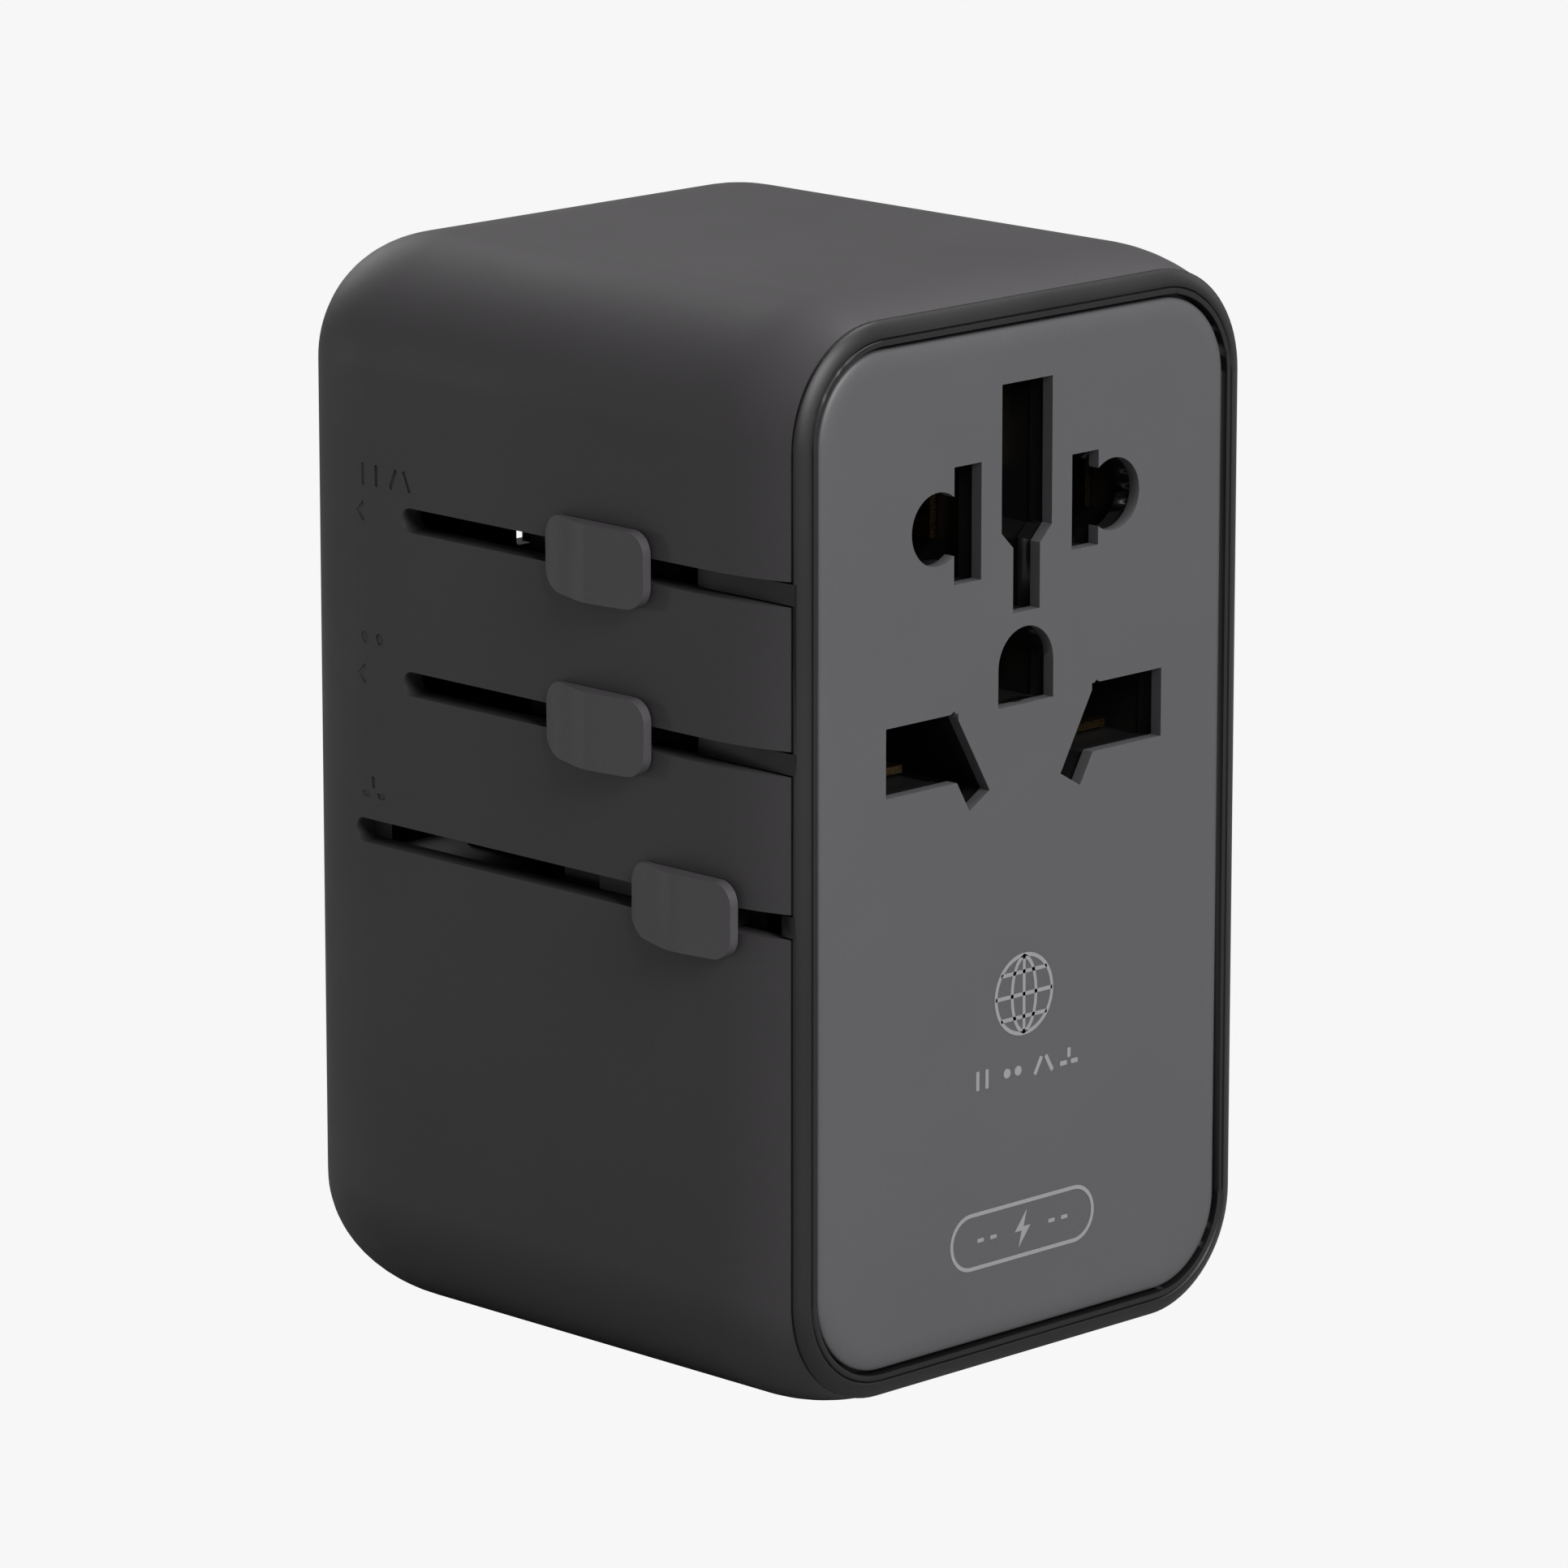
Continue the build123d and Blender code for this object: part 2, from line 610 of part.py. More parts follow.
def rail_and_stem(name):
    """The rail inside the shell, the stem through the slot and the bridge to the carriage's block."""
    height, _, stem_front, rail_end, rear, thickness = sliders[name]
    rail_z = (height - rail_height / 2, height + rail_height / 2)
    span_box((rail_outer_x, rail_inner_x), (stem_front - 1.5, rail_end), rail_z)
    bridge_span = (bridge_front[name], rear - thickness / 2 - 0.5)
    span_box((rail_inner_x - 0.01, bridge_inner_x), bridge_span, rail_z)
    stem_z = (height - stem_thickness / 2, height + stem_thickness / 2)
    knob_well_x = -half_width - knob_clearance - knob_stand / 2
    span_box((knob_well_x, rail_outer_x), (stem_front, stem_front + stem_length), stem_z)


for name, (height, knob_front, stem_front, _, _, _) in sliders.items():
    with BuildPart() as knob:
        knob_low = -half_width - knob_clearance
        middle_depth = knob_front + knob_length / 2
        knob_middle = (knob_low, front_y + middle_depth, height)
        with BuildSketch(Plane(origin=knob_middle, x_dir=(0, 1, 0), z_dir=(-1, 0, 0))):
            RectangleRounded(knob_length, knob_height, 1.1)
        extrude(amount=knob_stand)
        with BuildSketch(Plane.XY.offset(height + knob_height)):
            with BuildLine():
                Polyline(
                    (knob_low - knob_stand - 1, front_y + knob_front + knob_crest_length),
                    (knob_low - knob_stand, front_y + knob_front + knob_crest_length),
                    (knob_low - 0.35, front_y + knob_front + knob_length),
                    (knob_low - 0.35, front_y + knob_front + knob_length + 1),
                    (knob_low - knob_stand - 1, front_y + knob_front + knob_length + 1),
                    close=True,
                )
            make_face()
        extrude(amount=-2 * knob_height, mode=Mode.SUBTRACT)
        span_box(
            (knob_low - knob_stand / 2, knob_low + 0.1),
            (stem_front, stem_front + stem_length),
            (height - stem_thickness / 2, height + stem_thickness / 2),
            Mode.SUBTRACT,
        )
    save(knob.part, f"{name}_knob")

us_block_span = (base_rear_depth - base_thickness, base_rear_depth)
shaft_front_depth = us_block_span[0] - 0.8
with BuildPart() as us_carriage:
    rail_and_stem("us")
    span_box((-base_reach, -us_inner_x), us_block_span, (us_block_bottom, us_block_top))
    span_box((us_inner_x, blade_offset + 3.9), us_block_span, (us_height - 3.6, us_block_top))
    span_box((-us_inner_x, us_inner_x), us_block_span, (us_bridge_bottom, us_block_top))
    bore_radius = blade_shaft_radius + shaft_clearance
    for side in (-1, 1):
        rod(side * blade_offset, us_height, bore_radius, us_block_span, Mode.SUBTRACT)
save(us_carriage.part, "us_carriage")

blade_root_depth = base_rear_depth + 0.15
for side, name in ((-1, "us_blade_left"), (1, "us_blade_right")):
    with BuildPart() as blade:
        rod(side * blade_offset, us_height, blade_shaft_radius, (shaft_front_depth, blade_root_depth))
        collar_span = (shaft_front_depth, us_block_span[0] - 0.15)
        rod(side * blade_offset, us_height, blade_shaft_radius + 0.7, collar_span)
        blade_tip = base_rear_depth + stop_gap + back_wall + blade_length
        span_box(
            (side * blade_offset - blade_size[0] / 2, side * blade_offset + blade_size[0] / 2),
            (blade_root_depth, blade_tip),
            (us_height - blade_size[1] / 2, us_height + blade_size[1] / 2),
        )
        tip_edges = blade.edges().filter_by(Axis.X).group_by(Axis.Y)[-1]
        chamfer(tip_edges, length=1.2)
        side_edges = blade.faces().sort_by(Axis.Y)[-1].edges().filter_by(Axis.Z)
        chamfer(side_edges, length=0.5)
    save(blade.part, name)

thin_radius = euro_pin_radius - sleeve_thickness
eu_block_span = us_block_span
eu_tip = base_rear_depth + stop_gap + back_wall + euro_pin_length
eu_sleeve_end = base_rear_depth + stop_gap + back_wall + sleeve_length
with BuildPart() as eu_carriage:
    rail_and_stem("eu")
    span_box((-base_reach, eu_block_right - slide_clearance), eu_block_span, eu_block_z)
    for side in (-1, 1):
        rod(side * euro_pin_offset, eu_height, thin_radius, eu_block_span, Mode.SUBTRACT)
save(eu_carriage.part, "eu_carriage")

for side, hand in ((-1, "left"), (1, "right")):
    with BuildPart() as pin:
        x = side * euro_pin_offset
        rod(x, eu_height, thin_radius - 0.02, (eu_block_span[0], eu_sleeve_end + 0.5))
        rod(x, eu_height, euro_pin_radius, (eu_sleeve_end, eu_tip))
        tip = pin.faces().sort_by(Axis.Y)[-1].edges()
        fillet(tip, radius=euro_pin_radius * 0.8)
    save(pin.part, f"eu_pin_{hand}")

with BuildPart() as eu_sleeves:
    for side in (-1, 1):
        rod(side * euro_pin_offset, eu_height, euro_pin_radius, (base_rear_depth, eu_sleeve_end))
        rod(side * euro_pin_offset, eu_height, thin_radius, (base_rear_depth, eu_sleeve_end), Mode.SUBTRACT)
save(eu_sleeves.part, "eu_sleeves")

uk_block_span = (uk_base_front_depth, uk_base_rear_depth)
uk_sleeve_end = uk_base_rear_depth + stop_gap + back_wall + sleeve_length
uk_tip = uk_base_rear_depth + stop_gap + back_wall + british_pin_length
uk_earth_tip = uk_base_rear_depth + stop_gap + back_wall + british_earth_length
root_size = [size - 2 * sleeve_thickness for size in british_pin_size]
earth_root_size = (british_earth_size[0] - 1.6, british_earth_size[1] - 4.2)
earth_root_height = uk_earth_height + 1.4


def pin_bar(x, z, size, depth_span, mode=Mode.ADD):
    """A rectangular bar along Y about a middle line."""
    span_box((x - size[0] / 2, x + size[0] / 2), depth_span, (z - size[1] / 2, z + size[1] / 2), mode)


with BuildPart() as uk_carriage:
    rail_and_stem("uk")
    span_box((-base_reach, uk_arm_x[1]), uk_block_span, uk_block_z)
    span_box((bridge_inner_x - 5.4, bridge_inner_x), (bridge_front["uk"], uk_base_rear_depth - 0.5),
             (uk_height - rail_height / 2, uk_height + rail_height / 2))
    span_box(uk_arm_x, uk_block_span, (uk_block_z[0], uk_bar_top))
    span_box((-2.0, uk_arm_x[1]), uk_block_span, (uk_bar_bottom, uk_bar_top))
    pin_bar(0, uk_earth_height, british_earth_size, uk_block_span)
    pin_bar(0, earth_root_height, earth_root_size, uk_block_span, Mode.SUBTRACT)
    for side in (-1, 1):
        pin_bar(side * british_pin_offset, uk_height, root_size, uk_block_span, Mode.SUBTRACT)
save(uk_carriage.part, "uk_carriage")

for side, name in ((1, "live"), (-1, "neutral")):
    with BuildPart() as pin:
        pin_bar(side * british_pin_offset, uk_height, root_size, (uk_base_front_depth, uk_sleeve_end))
        pin_bar(side * british_pin_offset, uk_height, british_pin_size, (uk_sleeve_end, uk_tip))
        chamfer(pin.faces().sort_by(Axis.Y)[-1].edges(), length=1.0)
    save(pin.part, f"uk_pin_{name}")

with BuildPart() as uk_sleeves:
    for side in (-1, 1):
        sleeve_span = (uk_base_rear_depth, uk_sleeve_end)
        pin_bar(side * british_pin_offset, uk_height, british_pin_size, sleeve_span)
        pin_bar(side * british_pin_offset, uk_height, root_size, sleeve_span, Mode.SUBTRACT)
save(uk_sleeves.part, "uk_sleeves")

with BuildPart() as uk_pin_earth:
    pin_bar(0, uk_earth_height, british_earth_size, (uk_base_rear_depth, uk_earth_tip))
    chamfer(uk_pin_earth.faces().sort_by(Axis.Y)[-1].edges(), length=1.0)
    pin_bar(0, earth_root_height, earth_root_size, uk_block_span)
save(uk_pin_earth.part, "uk_pin_earth")

# --- Wipers: the brass pads under each carriage that run along the busbars' fingers ---
wiper_x = (finger_x[0] + 0.4, finger_x[1] - 0.4)
wiper_length = 2.4


def wiper(x_span, block_span, finger_top, block_face):
    """A pad between a finger and the face of a carriage's block."""
    middle = sum(block_span) / 2
    z_span = sorted((finger_top, block_face))
    span_box(sorted(x_span), (middle - wiper_length / 2, middle + wiper_length / 2), z_span)


with BuildPart() as us_wipers:
    wiper((-wiper_x[0], -wiper_x[1]), us_block_span, upper_shelf_top + contact_thickness + wiper_clearance,
          us_block_bottom)
    live_finger = us_finger_height["live"] - wiper_clearance
    wiper((wiper_x[0], blade_offset + 3.8), us_block_span, live_finger, us_block_top)
save(us_wipers.part, "us_wipers")

for name, block_span, top, face in (
    ("eu", eu_block_span, lower_shelf_top, eu_block_z[0]),
    ("uk", uk_block_span, floor_top_height, uk_block_z[0]),
):
    with BuildPart() as wipers:
        for side in (-1, 1):
            x_span = (side * wiper_x[0], side * wiper_x[1])
            wiper(x_span, block_span, top + contact_thickness + wiper_clearance, face)
        if name == "uk":
            earth_finger = upper_shelf_top + contact_thickness + wiper_clearance
            wiper((1.4, 4.2), block_span, earth_finger, uk_bar_bottom)
    save(wipers.part, f"{name}_wipers")

# --- Charger: USB ports in the base, their board and the main board hung under the floor ---
ports = [("a", number + 1, depth, usb_a_size) for number, depth in enumerate(usb_depth_a)]
ports += [("c", number + 1, depth, usb_c_size) for number, depth in enumerate(usb_depth_c)]
for kind, number, depth, size in ports:
    corner = 0.5 if kind == "a" else size[1] / 2 - 0.01
    middle = (0, front_y + depth)
    tongue_size = (11.2, 1.9) if kind == "a" else (6.7, 0.7)
    tongue_shift = 1.1 if kind == "a" else 0.0
    back_height = usb_top_height - 4.5
    with BuildPart() as port_shell:
        with BuildSketch(Plane.XY.offset(usb_recess)):
            with Locations(middle):
                RectangleRounded(size[0], size[1], corner)
                RectangleRounded(
                    size[0] - 2 * usb_wall, size[1] - 2 * usb_wall, corner - usb_wall, mode=Mode.SUBTRACT
                )
        extrude(amount=usb_length)
    save(port_shell.part, f"usb_{kind}_shell_{number}")
    with BuildPart() as port_tongue:
        with BuildSketch(Plane.XY.offset(back_height)):
            with Locations(middle):
                RectangleRounded(size[0] - 2 * usb_wall, size[1] - 2 * usb_wall, corner - usb_wall)
        extrude(amount=4.5)
        with BuildSketch(Plane.XY.offset(usb_recess + 0.6)):
            with Locations((0, front_y + depth + tongue_shift)):
                Rectangle(*tongue_size)
        extrude(amount=usb_length - 0.6)
    save(port_tongue.part, f"usb_{kind}_tongue_{number}")

with BuildPart() as port_board:
    port_board_x = (-port_board_half_width, port_board_half_width)
    span_box(port_board_x, port_board_depths, (usb_top_height, port_board_top))
    for x, depth in port_posts:
        upright(x, depth, screw_radius + 0.1, (usb_top_height, port_board_top), Mode.SUBTRACT)
save(port_board.part, "port_board")

with BuildPart() as port_board_screws:
    for x, depth in port_posts:
        upright(x, depth, 1.8, (port_board_top, port_board_top + 1.0))
        upright(x, depth, screw_radius - 0.15, (usb_top_height - 5.0, port_board_top))
save(port_board_screws.part, "port_board_screws")

with BuildPart() as output_inductors:
    for depth in (16.0, 33.0):
        span_box((-3.6, 3.6), (depth - 3.6, depth + 3.6), (port_board_top, port_board_top + 2.5))
    chamfer(output_inductors.edges().filter_by(Axis.Z), length=0.9)
save(output_inductors.part, "output_inductors")

header_depth = 38.5
header_pitch = 2.54
with BuildPart() as board_header:
    span_box((-5 * header_pitch / 2, 5 * header_pitch / 2), (header_depth - 1.25, header_depth + 1.25),
             (port_board_top, port_board_top + 2.5))
    for index in range(5):
        x = (index - 2) * header_pitch
        pin_span = (header_depth - 0.32, header_depth + 0.32)
        span_box((x - 0.32, x + 0.32), pin_span, (port_board_top, main_board_height))
save(board_header.part, "board_header")

with BuildPart() as main_board:
    board_x = (-main_board_half_width, main_board_half_width)
    span_box(board_x, main_board_depths, (main_board_height, main_board_top))
    for x, depth in board_spots:
        upright(x, depth, screw_radius + 0.1, (main_board_height, main_board_top), Mode.SUBTRACT)
save(main_board.part, "main_board")

with BuildPart() as board_spacers:
    for x, depth in board_spots:
        upright(x, depth, 2.0, (main_board_top, floor_bottom_height))
        upright(x, depth, screw_radius + 0.1, (main_board_top, floor_bottom_height), Mode.SUBTRACT)
save(board_spacers.part, "board_spacers")

with BuildPart() as board_screws:
    for x, depth in board_spots:
        upright(x, depth, 1.8, (main_board_height - 1.0, main_board_height))
        upright(x, depth, screw_radius, (main_board_height, floor_bottom_height))
save(board_screws.part, "board_screws")

sheet_thickness = 0.3
with BuildPart() as insulating_sheet:
    sheet_z = (main_board_top + 0.7, main_board_top + 0.7 + sheet_thickness)
    span_box((-main_board_half_width, main_board_half_width), (4.0, 49.0), sheet_z)
    for x, depth in board_spots:
        upright(x, depth, 2.1, sheet_z, Mode.SUBTRACT)
save(insulating_sheet.part, "insulating_sheet")

transformer_x = (-15.5, 0.5)
transformer_depths = (20.0, 34.0)
transformer_z = (main_board_height - 11.0, main_board_height)
limb = 3.4
with BuildPart() as transformer_core:
    span_box(transformer_x, transformer_depths, transformer_z)
    inner_z = (transformer_z[0] + 2.6, transformer_z[1] - 2.6)
    span_box((transformer_x[0] + limb, transformer_x[1] - limb), transformer_depths, inner_z, Mode.SUBTRACT)
save(transformer_core.part, "transformer_core")

with BuildPart() as transformer_winding:
    coil_x = (transformer_x[0] + limb + 0.2, transformer_x[1] - limb - 0.2)
    coil_depths = (transformer_depths[0] - 1.6, transformer_depths[1] + 1.6)
    coil_z = (transformer_z[0] + 2.8, transformer_z[1] - 2.8)
    span_box(coil_x, coil_depths, coil_z)
    fillet(transformer_winding.edges().filter_by(Axis.Z), radius=1.4)
save(transformer_winding.part, "transformer_winding")

capacitor_radius = 4.5
with BuildPart() as input_capacitors:
    for depth in (9.5, 29.0):
        spot = (11.0, main_board_height - capacitor_radius)
        rod(*spot, capacitor_radius, (depth, depth + 17.0))
        rod(*spot, capacitor_radius - 0.9, (depth + 16.6, depth + 17.0), Mode.SUBTRACT)
save(input_capacitors.part, "input_capacitors")

with BuildPart() as safety_capacitor:
    span_box((-13.5, -1.5), (8.0, 14.0), (main_board_height - 10.5, main_board_height))
    fillet(safety_capacitor.edges(), radius=0.5)
save(safety_capacitor.part, "safety_capacitor")

with BuildPart() as choke:
    with Locations((-10.5, front_y + 42.0, main_board_height - 2.2)):
        Torus(3.0, 1.9)
    span_box((-14.5, -6.5), (38.0, 46.0), (main_board_height - 0.6, main_board_height))
save(choke.part, "choke")

with BuildPart() as bridge_rectifier:
    span_box((-18.5, -16.5), (16.0, 25.0), (main_board_height - 7.0, main_board_height))
    chamfer(bridge_rectifier.edges().filter_by(Axis.Z), length=0.5)
save(bridge_rectifier.part, "bridge_rectifier")

with BuildPart() as switch_chip:
    span_box((2.5, 5.8), (17.0, 23.0), (main_board_height - 1.0, main_board_height))
save(switch_chip.part, "switch_chip")

with BuildPart() as heat_spreader:
    spreader_z = (main_board_height - 1.6, main_board_height - 1.0)
    span_box((1.8, 6.0), (15.0, 33.0), spreader_z)
save(heat_spreader.part, "heat_spreader")
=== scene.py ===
import json
import math
from types import SimpleNamespace

import bmesh
import bpy
from bpy.props import FloatProperty, FloatVectorProperty, PointerProperty
from mathutils import Matrix, Vector

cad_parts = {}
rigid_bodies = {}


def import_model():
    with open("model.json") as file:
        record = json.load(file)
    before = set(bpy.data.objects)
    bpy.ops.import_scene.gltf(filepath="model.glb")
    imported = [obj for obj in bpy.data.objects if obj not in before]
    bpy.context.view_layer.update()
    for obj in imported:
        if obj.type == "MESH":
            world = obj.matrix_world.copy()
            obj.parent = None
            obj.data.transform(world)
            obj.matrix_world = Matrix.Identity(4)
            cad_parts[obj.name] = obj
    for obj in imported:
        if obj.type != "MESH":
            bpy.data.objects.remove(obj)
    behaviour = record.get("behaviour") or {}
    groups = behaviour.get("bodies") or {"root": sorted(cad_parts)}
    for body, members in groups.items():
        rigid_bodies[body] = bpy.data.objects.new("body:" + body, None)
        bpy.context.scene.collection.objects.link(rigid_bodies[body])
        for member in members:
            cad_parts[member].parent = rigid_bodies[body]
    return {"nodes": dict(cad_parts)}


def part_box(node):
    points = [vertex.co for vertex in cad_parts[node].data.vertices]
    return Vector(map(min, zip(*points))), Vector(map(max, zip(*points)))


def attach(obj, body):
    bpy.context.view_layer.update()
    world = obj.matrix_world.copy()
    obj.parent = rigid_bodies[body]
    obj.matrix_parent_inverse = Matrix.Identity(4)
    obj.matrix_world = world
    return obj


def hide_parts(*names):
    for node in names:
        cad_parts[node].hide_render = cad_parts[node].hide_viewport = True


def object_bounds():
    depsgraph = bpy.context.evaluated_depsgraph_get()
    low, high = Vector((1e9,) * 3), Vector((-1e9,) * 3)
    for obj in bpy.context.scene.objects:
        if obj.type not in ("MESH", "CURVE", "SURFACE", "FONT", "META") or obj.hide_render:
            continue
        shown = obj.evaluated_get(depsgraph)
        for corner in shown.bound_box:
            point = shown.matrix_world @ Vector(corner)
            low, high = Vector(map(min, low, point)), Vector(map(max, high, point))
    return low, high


bl_info = {
    "name": "Travel adapter",
    "version": (1, 0, 0),
    "blender": (4, 5, 0),
    "location": "View3D > Sidebar > Adapter",
    "description": "Builds the adapter's visible pieces, finishes and studio around its CAD frame",
    "category": "Object",
}

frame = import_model()
cad_low, cad_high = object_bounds()

MM = 1000.0
FINISHES = {}

# A flat outline is drawn in its own XY plane, then turned to face the front, the slider side or the base.
FACING_FRONT = Matrix.Rotation(math.radians(90), 4, "X")
FACING_SIDE = Matrix(((0, 0, -1, 0), (-1, 0, 0, 0), (0, 1, 0, 0), (0, 0, 0, 1)))
FACING_DOWN = Matrix.Rotation(math.radians(180), 4, "X")


def linear(hex_colour):
    """A colour written as sRGB hex, as the linear values that shaders take."""
    parts = [int(hex_colour[i:i + 2], 16) / 255 for i in (1, 3, 5)]
    return tuple(p / 12.92 if p <= 0.04045 else ((p + 0.055) / 1.055) ** 2.4 for p in parts)


def length(name, description, default):
    """A size in millimetres as a property that the sidebar shows in scene units."""
    return FloatProperty(name=name, description=description, default=default / MM, min=0.0, unit="LENGTH")


def colour(name, description, default):
    """A surface colour as a property, from its sRGB hex value."""
    return FloatVectorProperty(
        name=name, description=description, default=linear(default), subtype="COLOR", min=0.0, max=1.0
    )


class ShellSizes(bpy.types.PropertyGroup):
    """Sizes of the moulded shell"""

    edge_radius: length("Edge radius", "Radius of the four long edges", 10.0)
    wall: length("Wall", "Thickness of the sides", 2.0)
    back_wall: length("Back wall", "Thickness of the pin face", 2.0)
    front_in: length("Front draw", "How far the sides close in towards the rim", 1.3)
    front_run: length("Front draw length", "Distance behind the socket face where the sides start to close in", 8.0)
    back_in: length("Back round", "How far the sides close in at the pin face", 5.4)
    back_run: length("Back round length", "Length of the rounding at the pin face", 10.2)
    seam: length("Seam depth", "Distance of the joint with the rim behind the socket face", 1.0)
    slot_height: length("Slot height", "Height of the slider slots", 1.9)
    short_slot_end: length("Short slot end", "Distance of the two short slots' ends behind the socket face", 41.4)
    long_slot_end: length("Long slot end", "Distance of the long slot's end behind the socket face", 47.0)
    edge_break: length("Edge break", "Rounding of the shell's cut edges", 0.16)
    mark_depth: length("Mark depth", "Depth of the marks moulded beside the slots", 0.12)


class FrontSizes(bpy.types.PropertyGroup):
    """Sizes of the rim and the panel"""

    slope_in: length("Rim slope", "Width of the rim's sloping face", 1.2)
    crease: length("Rim crease", "Width of the fine groove between the slope and the lip", 0.22)
    land: length("Rim lip", "Width of the rim's flat lip beside the panel", 0.38)
    lip_depth: length("Lip depth", "Distance of the rim's lip behind the panel's face", 0.05)
    gap: length("Panel gap", "Width of the groove round the panel", 0.35)
    seam_gap: length("Seam gap", "Width of the fine groove between the shell and the rim", 0.2)
    panel: length("Panel thickness", "Thickness of the panel at its middle", 1.0)
    pillow_run: length("Pillow width", "Width of the panel's softened edge", 1.7)
    pillow_drop: length("Pillow drop", "How far the panel's face drops at its edge", 0.42)
    tray: length("Tray thickness", "Thickness of the rim's floor behind the panel", 1.4)
    tray_front: length("Tray depth", "Distance of the rim's floor behind the socket face", 1.2)
    print: length("Print thickness", "Thickness of the printed marks", 0.02)
    line: length("Print line", "Width of the printed lines", 0.3)


class SocketSizes(bpy.types.PropertyGroup):
    """Sizes of the socket openings, heights measured from the base"""

    round_height: length("Round hole height", "Height of the line of the two round holes", 66.9)
    round_offset: length("Round hole offset", "Distance of a round hole from the middle", 9.5)
    round_radius: length("Round hole radius", "Radius of a round hole", 2.8)
    blade_offset: length("Blade offset", "Distance of a flat blade's slot from the middle", 6.35)
    blade_width: length("Blade slot width", "Width of a flat blade's slot", 2.9)
    blade_tall: length("Tall slot", "Height of the slot nearer the sliders", 8.9)
    blade_short: length("Short slot", "Height of the other slot", 7.3)
    bar_height: length("Bar slot height", "Height of the line of the two rectangular holes", 50.0)
    bar_offset: length("Bar slot offset", "Distance of a rectangular hole from the middle", 11.11)
    bar_width: length("Bar slot width", "Width of a rectangular hole", 7.69)
    bar_tall: length("Bar slot tall", "Height of a rectangular hole", 5.315)
    tilted_offset: length("Tilted slot offset", "Distance of a tilted slot from the middle", 6.86)
    tilted_height: length("Tilted slot height", "Height of the tilted slots' middles", 48.93)
    tilted_width: length("Tilted slot width", "Width of a tilted slot", 2.5)
    tilted_length: length("Tilted slot length", "Length of a tilted slot", 7.7)
    earth_width: length("Earth slot width", "Width of the upper earth slot", 5.44)
    earth_top: length("Earth slot top", "Height of the upper earth slot's top", 76.875)
    earth_bottom: length("Earth slot shoulder", "Height where the upper earth slot narrows", 65.5975)
    narrow_bottom: length("Narrow slot bottom", "Height of the narrow earth slot's bottom", 59.35)
    ground_width: length("Ground hole width", "Width of the arched earth hole", 5.97)
    ground_bottom: length("Ground hole bottom", "Height of the arched earth hole's bottom", 52.3)
    ground_tall: length("Ground hole height", "Height of the arched earth hole", 5.9)


class KnobSizes(bpy.types.PropertyGroup):
    """Sizes of the slider knobs"""

    corner: length("Knob corner", "Radius of the knob's corners seen from the side", 1.7)
    crest: length("Knob crest", "Distance of the thumb rest's top behind the knob's front", 5.2)
    thin_end: length("Knob thin end", "Thickness of the knob at its back end", 0.15)
    front_drop: length("Knob front drop", "How far the pad falls towards its front", 0.7)
    edge: length("Knob edge", "Rounding of the pad's edge", 0.42)


class Colours(bpy.types.PropertyGroup):
    """Colours of the surfaces that show"""

    shell: colour("Shell", "Moulded body", "#353335")
    # the knobs' colour is the shell's plastic made lighter: painted light for the front light falling on the knobs'
    # tilted pads
    knob: colour("Knobs", "Slider knobs", "#444244")
    rim: colour("Rim", "Satin rim round the panel", "#101011")
    panel: colour("Panel", "Grey front panel", "#454547")
    ink: colour("Print", "Printed marks", "#7A7A7C")
    core: colour("Core", "Black block behind the socket holes", "#0B0B0C")
    nickel: colour("Pins", "Nickel-plated pins", "#BFBAB0")
    # the contacts' brass is darkened as painted shade for where they sit, deep inside the socket holes
    brass: colour("Contacts", "Brass strips and leaves", "#6E5C3E")
    floor: colour("Floor", "Pale studio floor", "#F7F7F7")


class StudioSettings(bpy.types.PropertyGroup):
    """Camera and light"""

    eye: FloatVectorProperty(
        name="Camera place",
        description="Where the camera stands",
        default=(-0.4787, -0.4806, 0.2012),
        subtype="TRANSLATION",
        unit="LENGTH",
    )
    turn: FloatProperty(
        name="Camera turn", description="Camera's heading", default=math.radians(45.0), subtype="ANGLE"
    )
    dip: FloatProperty(
        name="Camera dip", description="How far the camera looks down", default=math.radians(13.25), subtype="ANGLE"
    )
    lens: FloatProperty(name="Lens", description="Focal length in millimetres", default=207.1)


# ---------------------------------------------------------------- shaping


def millimetres(group):
    """A group's sizes as plain millimetre values, which the mesh operators work in."""
    return SimpleNamespace(**{name: getattr(group, name) * MM for name in group.__annotations__})


def corners_of(node):
    """The lowest and highest corner of a CAD node, in millimetres."""
    low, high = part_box(node)
    return low * MM, high * MM


def outline(mesh, width, height, radius, place, steps=8):
    """A flat rounded rectangle in its own XY plane, set in place by a matrix."""
    verts = bmesh.ops.create_grid(mesh, x_segments=1, y_segments=1, size=0.5)["verts"]
    bmesh.ops.scale(mesh, vec=(width, height, 1), verts=verts)
    bmesh.ops.transform(mesh, matrix=place, verts=verts)
    face = verts[0].link_faces[0]
    if radius:
        rounded = bmesh.ops.bevel(
            mesh, geom=verts, offset=radius, offset_type="OFFSET", segments=steps, profile=0.5,
            affect="VERTICES", material=-1, clamp_overlap=False,
        )
        face = rounded["verts"][0].link_faces[0]
    return face


def pull(mesh, face, vector):
    """Extrudes a face along a vector, and gives the face that moved."""
    alone = all(len(edge.link_faces) == 1 for edge in face.edges)
    made = bmesh.ops.extrude_face_region(mesh, geom=[face])["geom"]
    bmesh.ops.translate(mesh, vec=vector, verts=[g for g in made if isinstance(g, bmesh.types.BMVert)])
    if not alone:
        bmesh.ops.delete(mesh, geom=[face], context="FACES_ONLY")
    return next(g for g in made if isinstance(g, bmesh.types.BMFace))


def step_in(mesh, face, inward, forward):
    """Insets a cap by one distance and moves it along its normal by another."""
    bmesh.ops.inset_region(
        mesh, faces=[face], thickness=inward, depth=forward, use_even_offset=True, use_boundary=True
    )


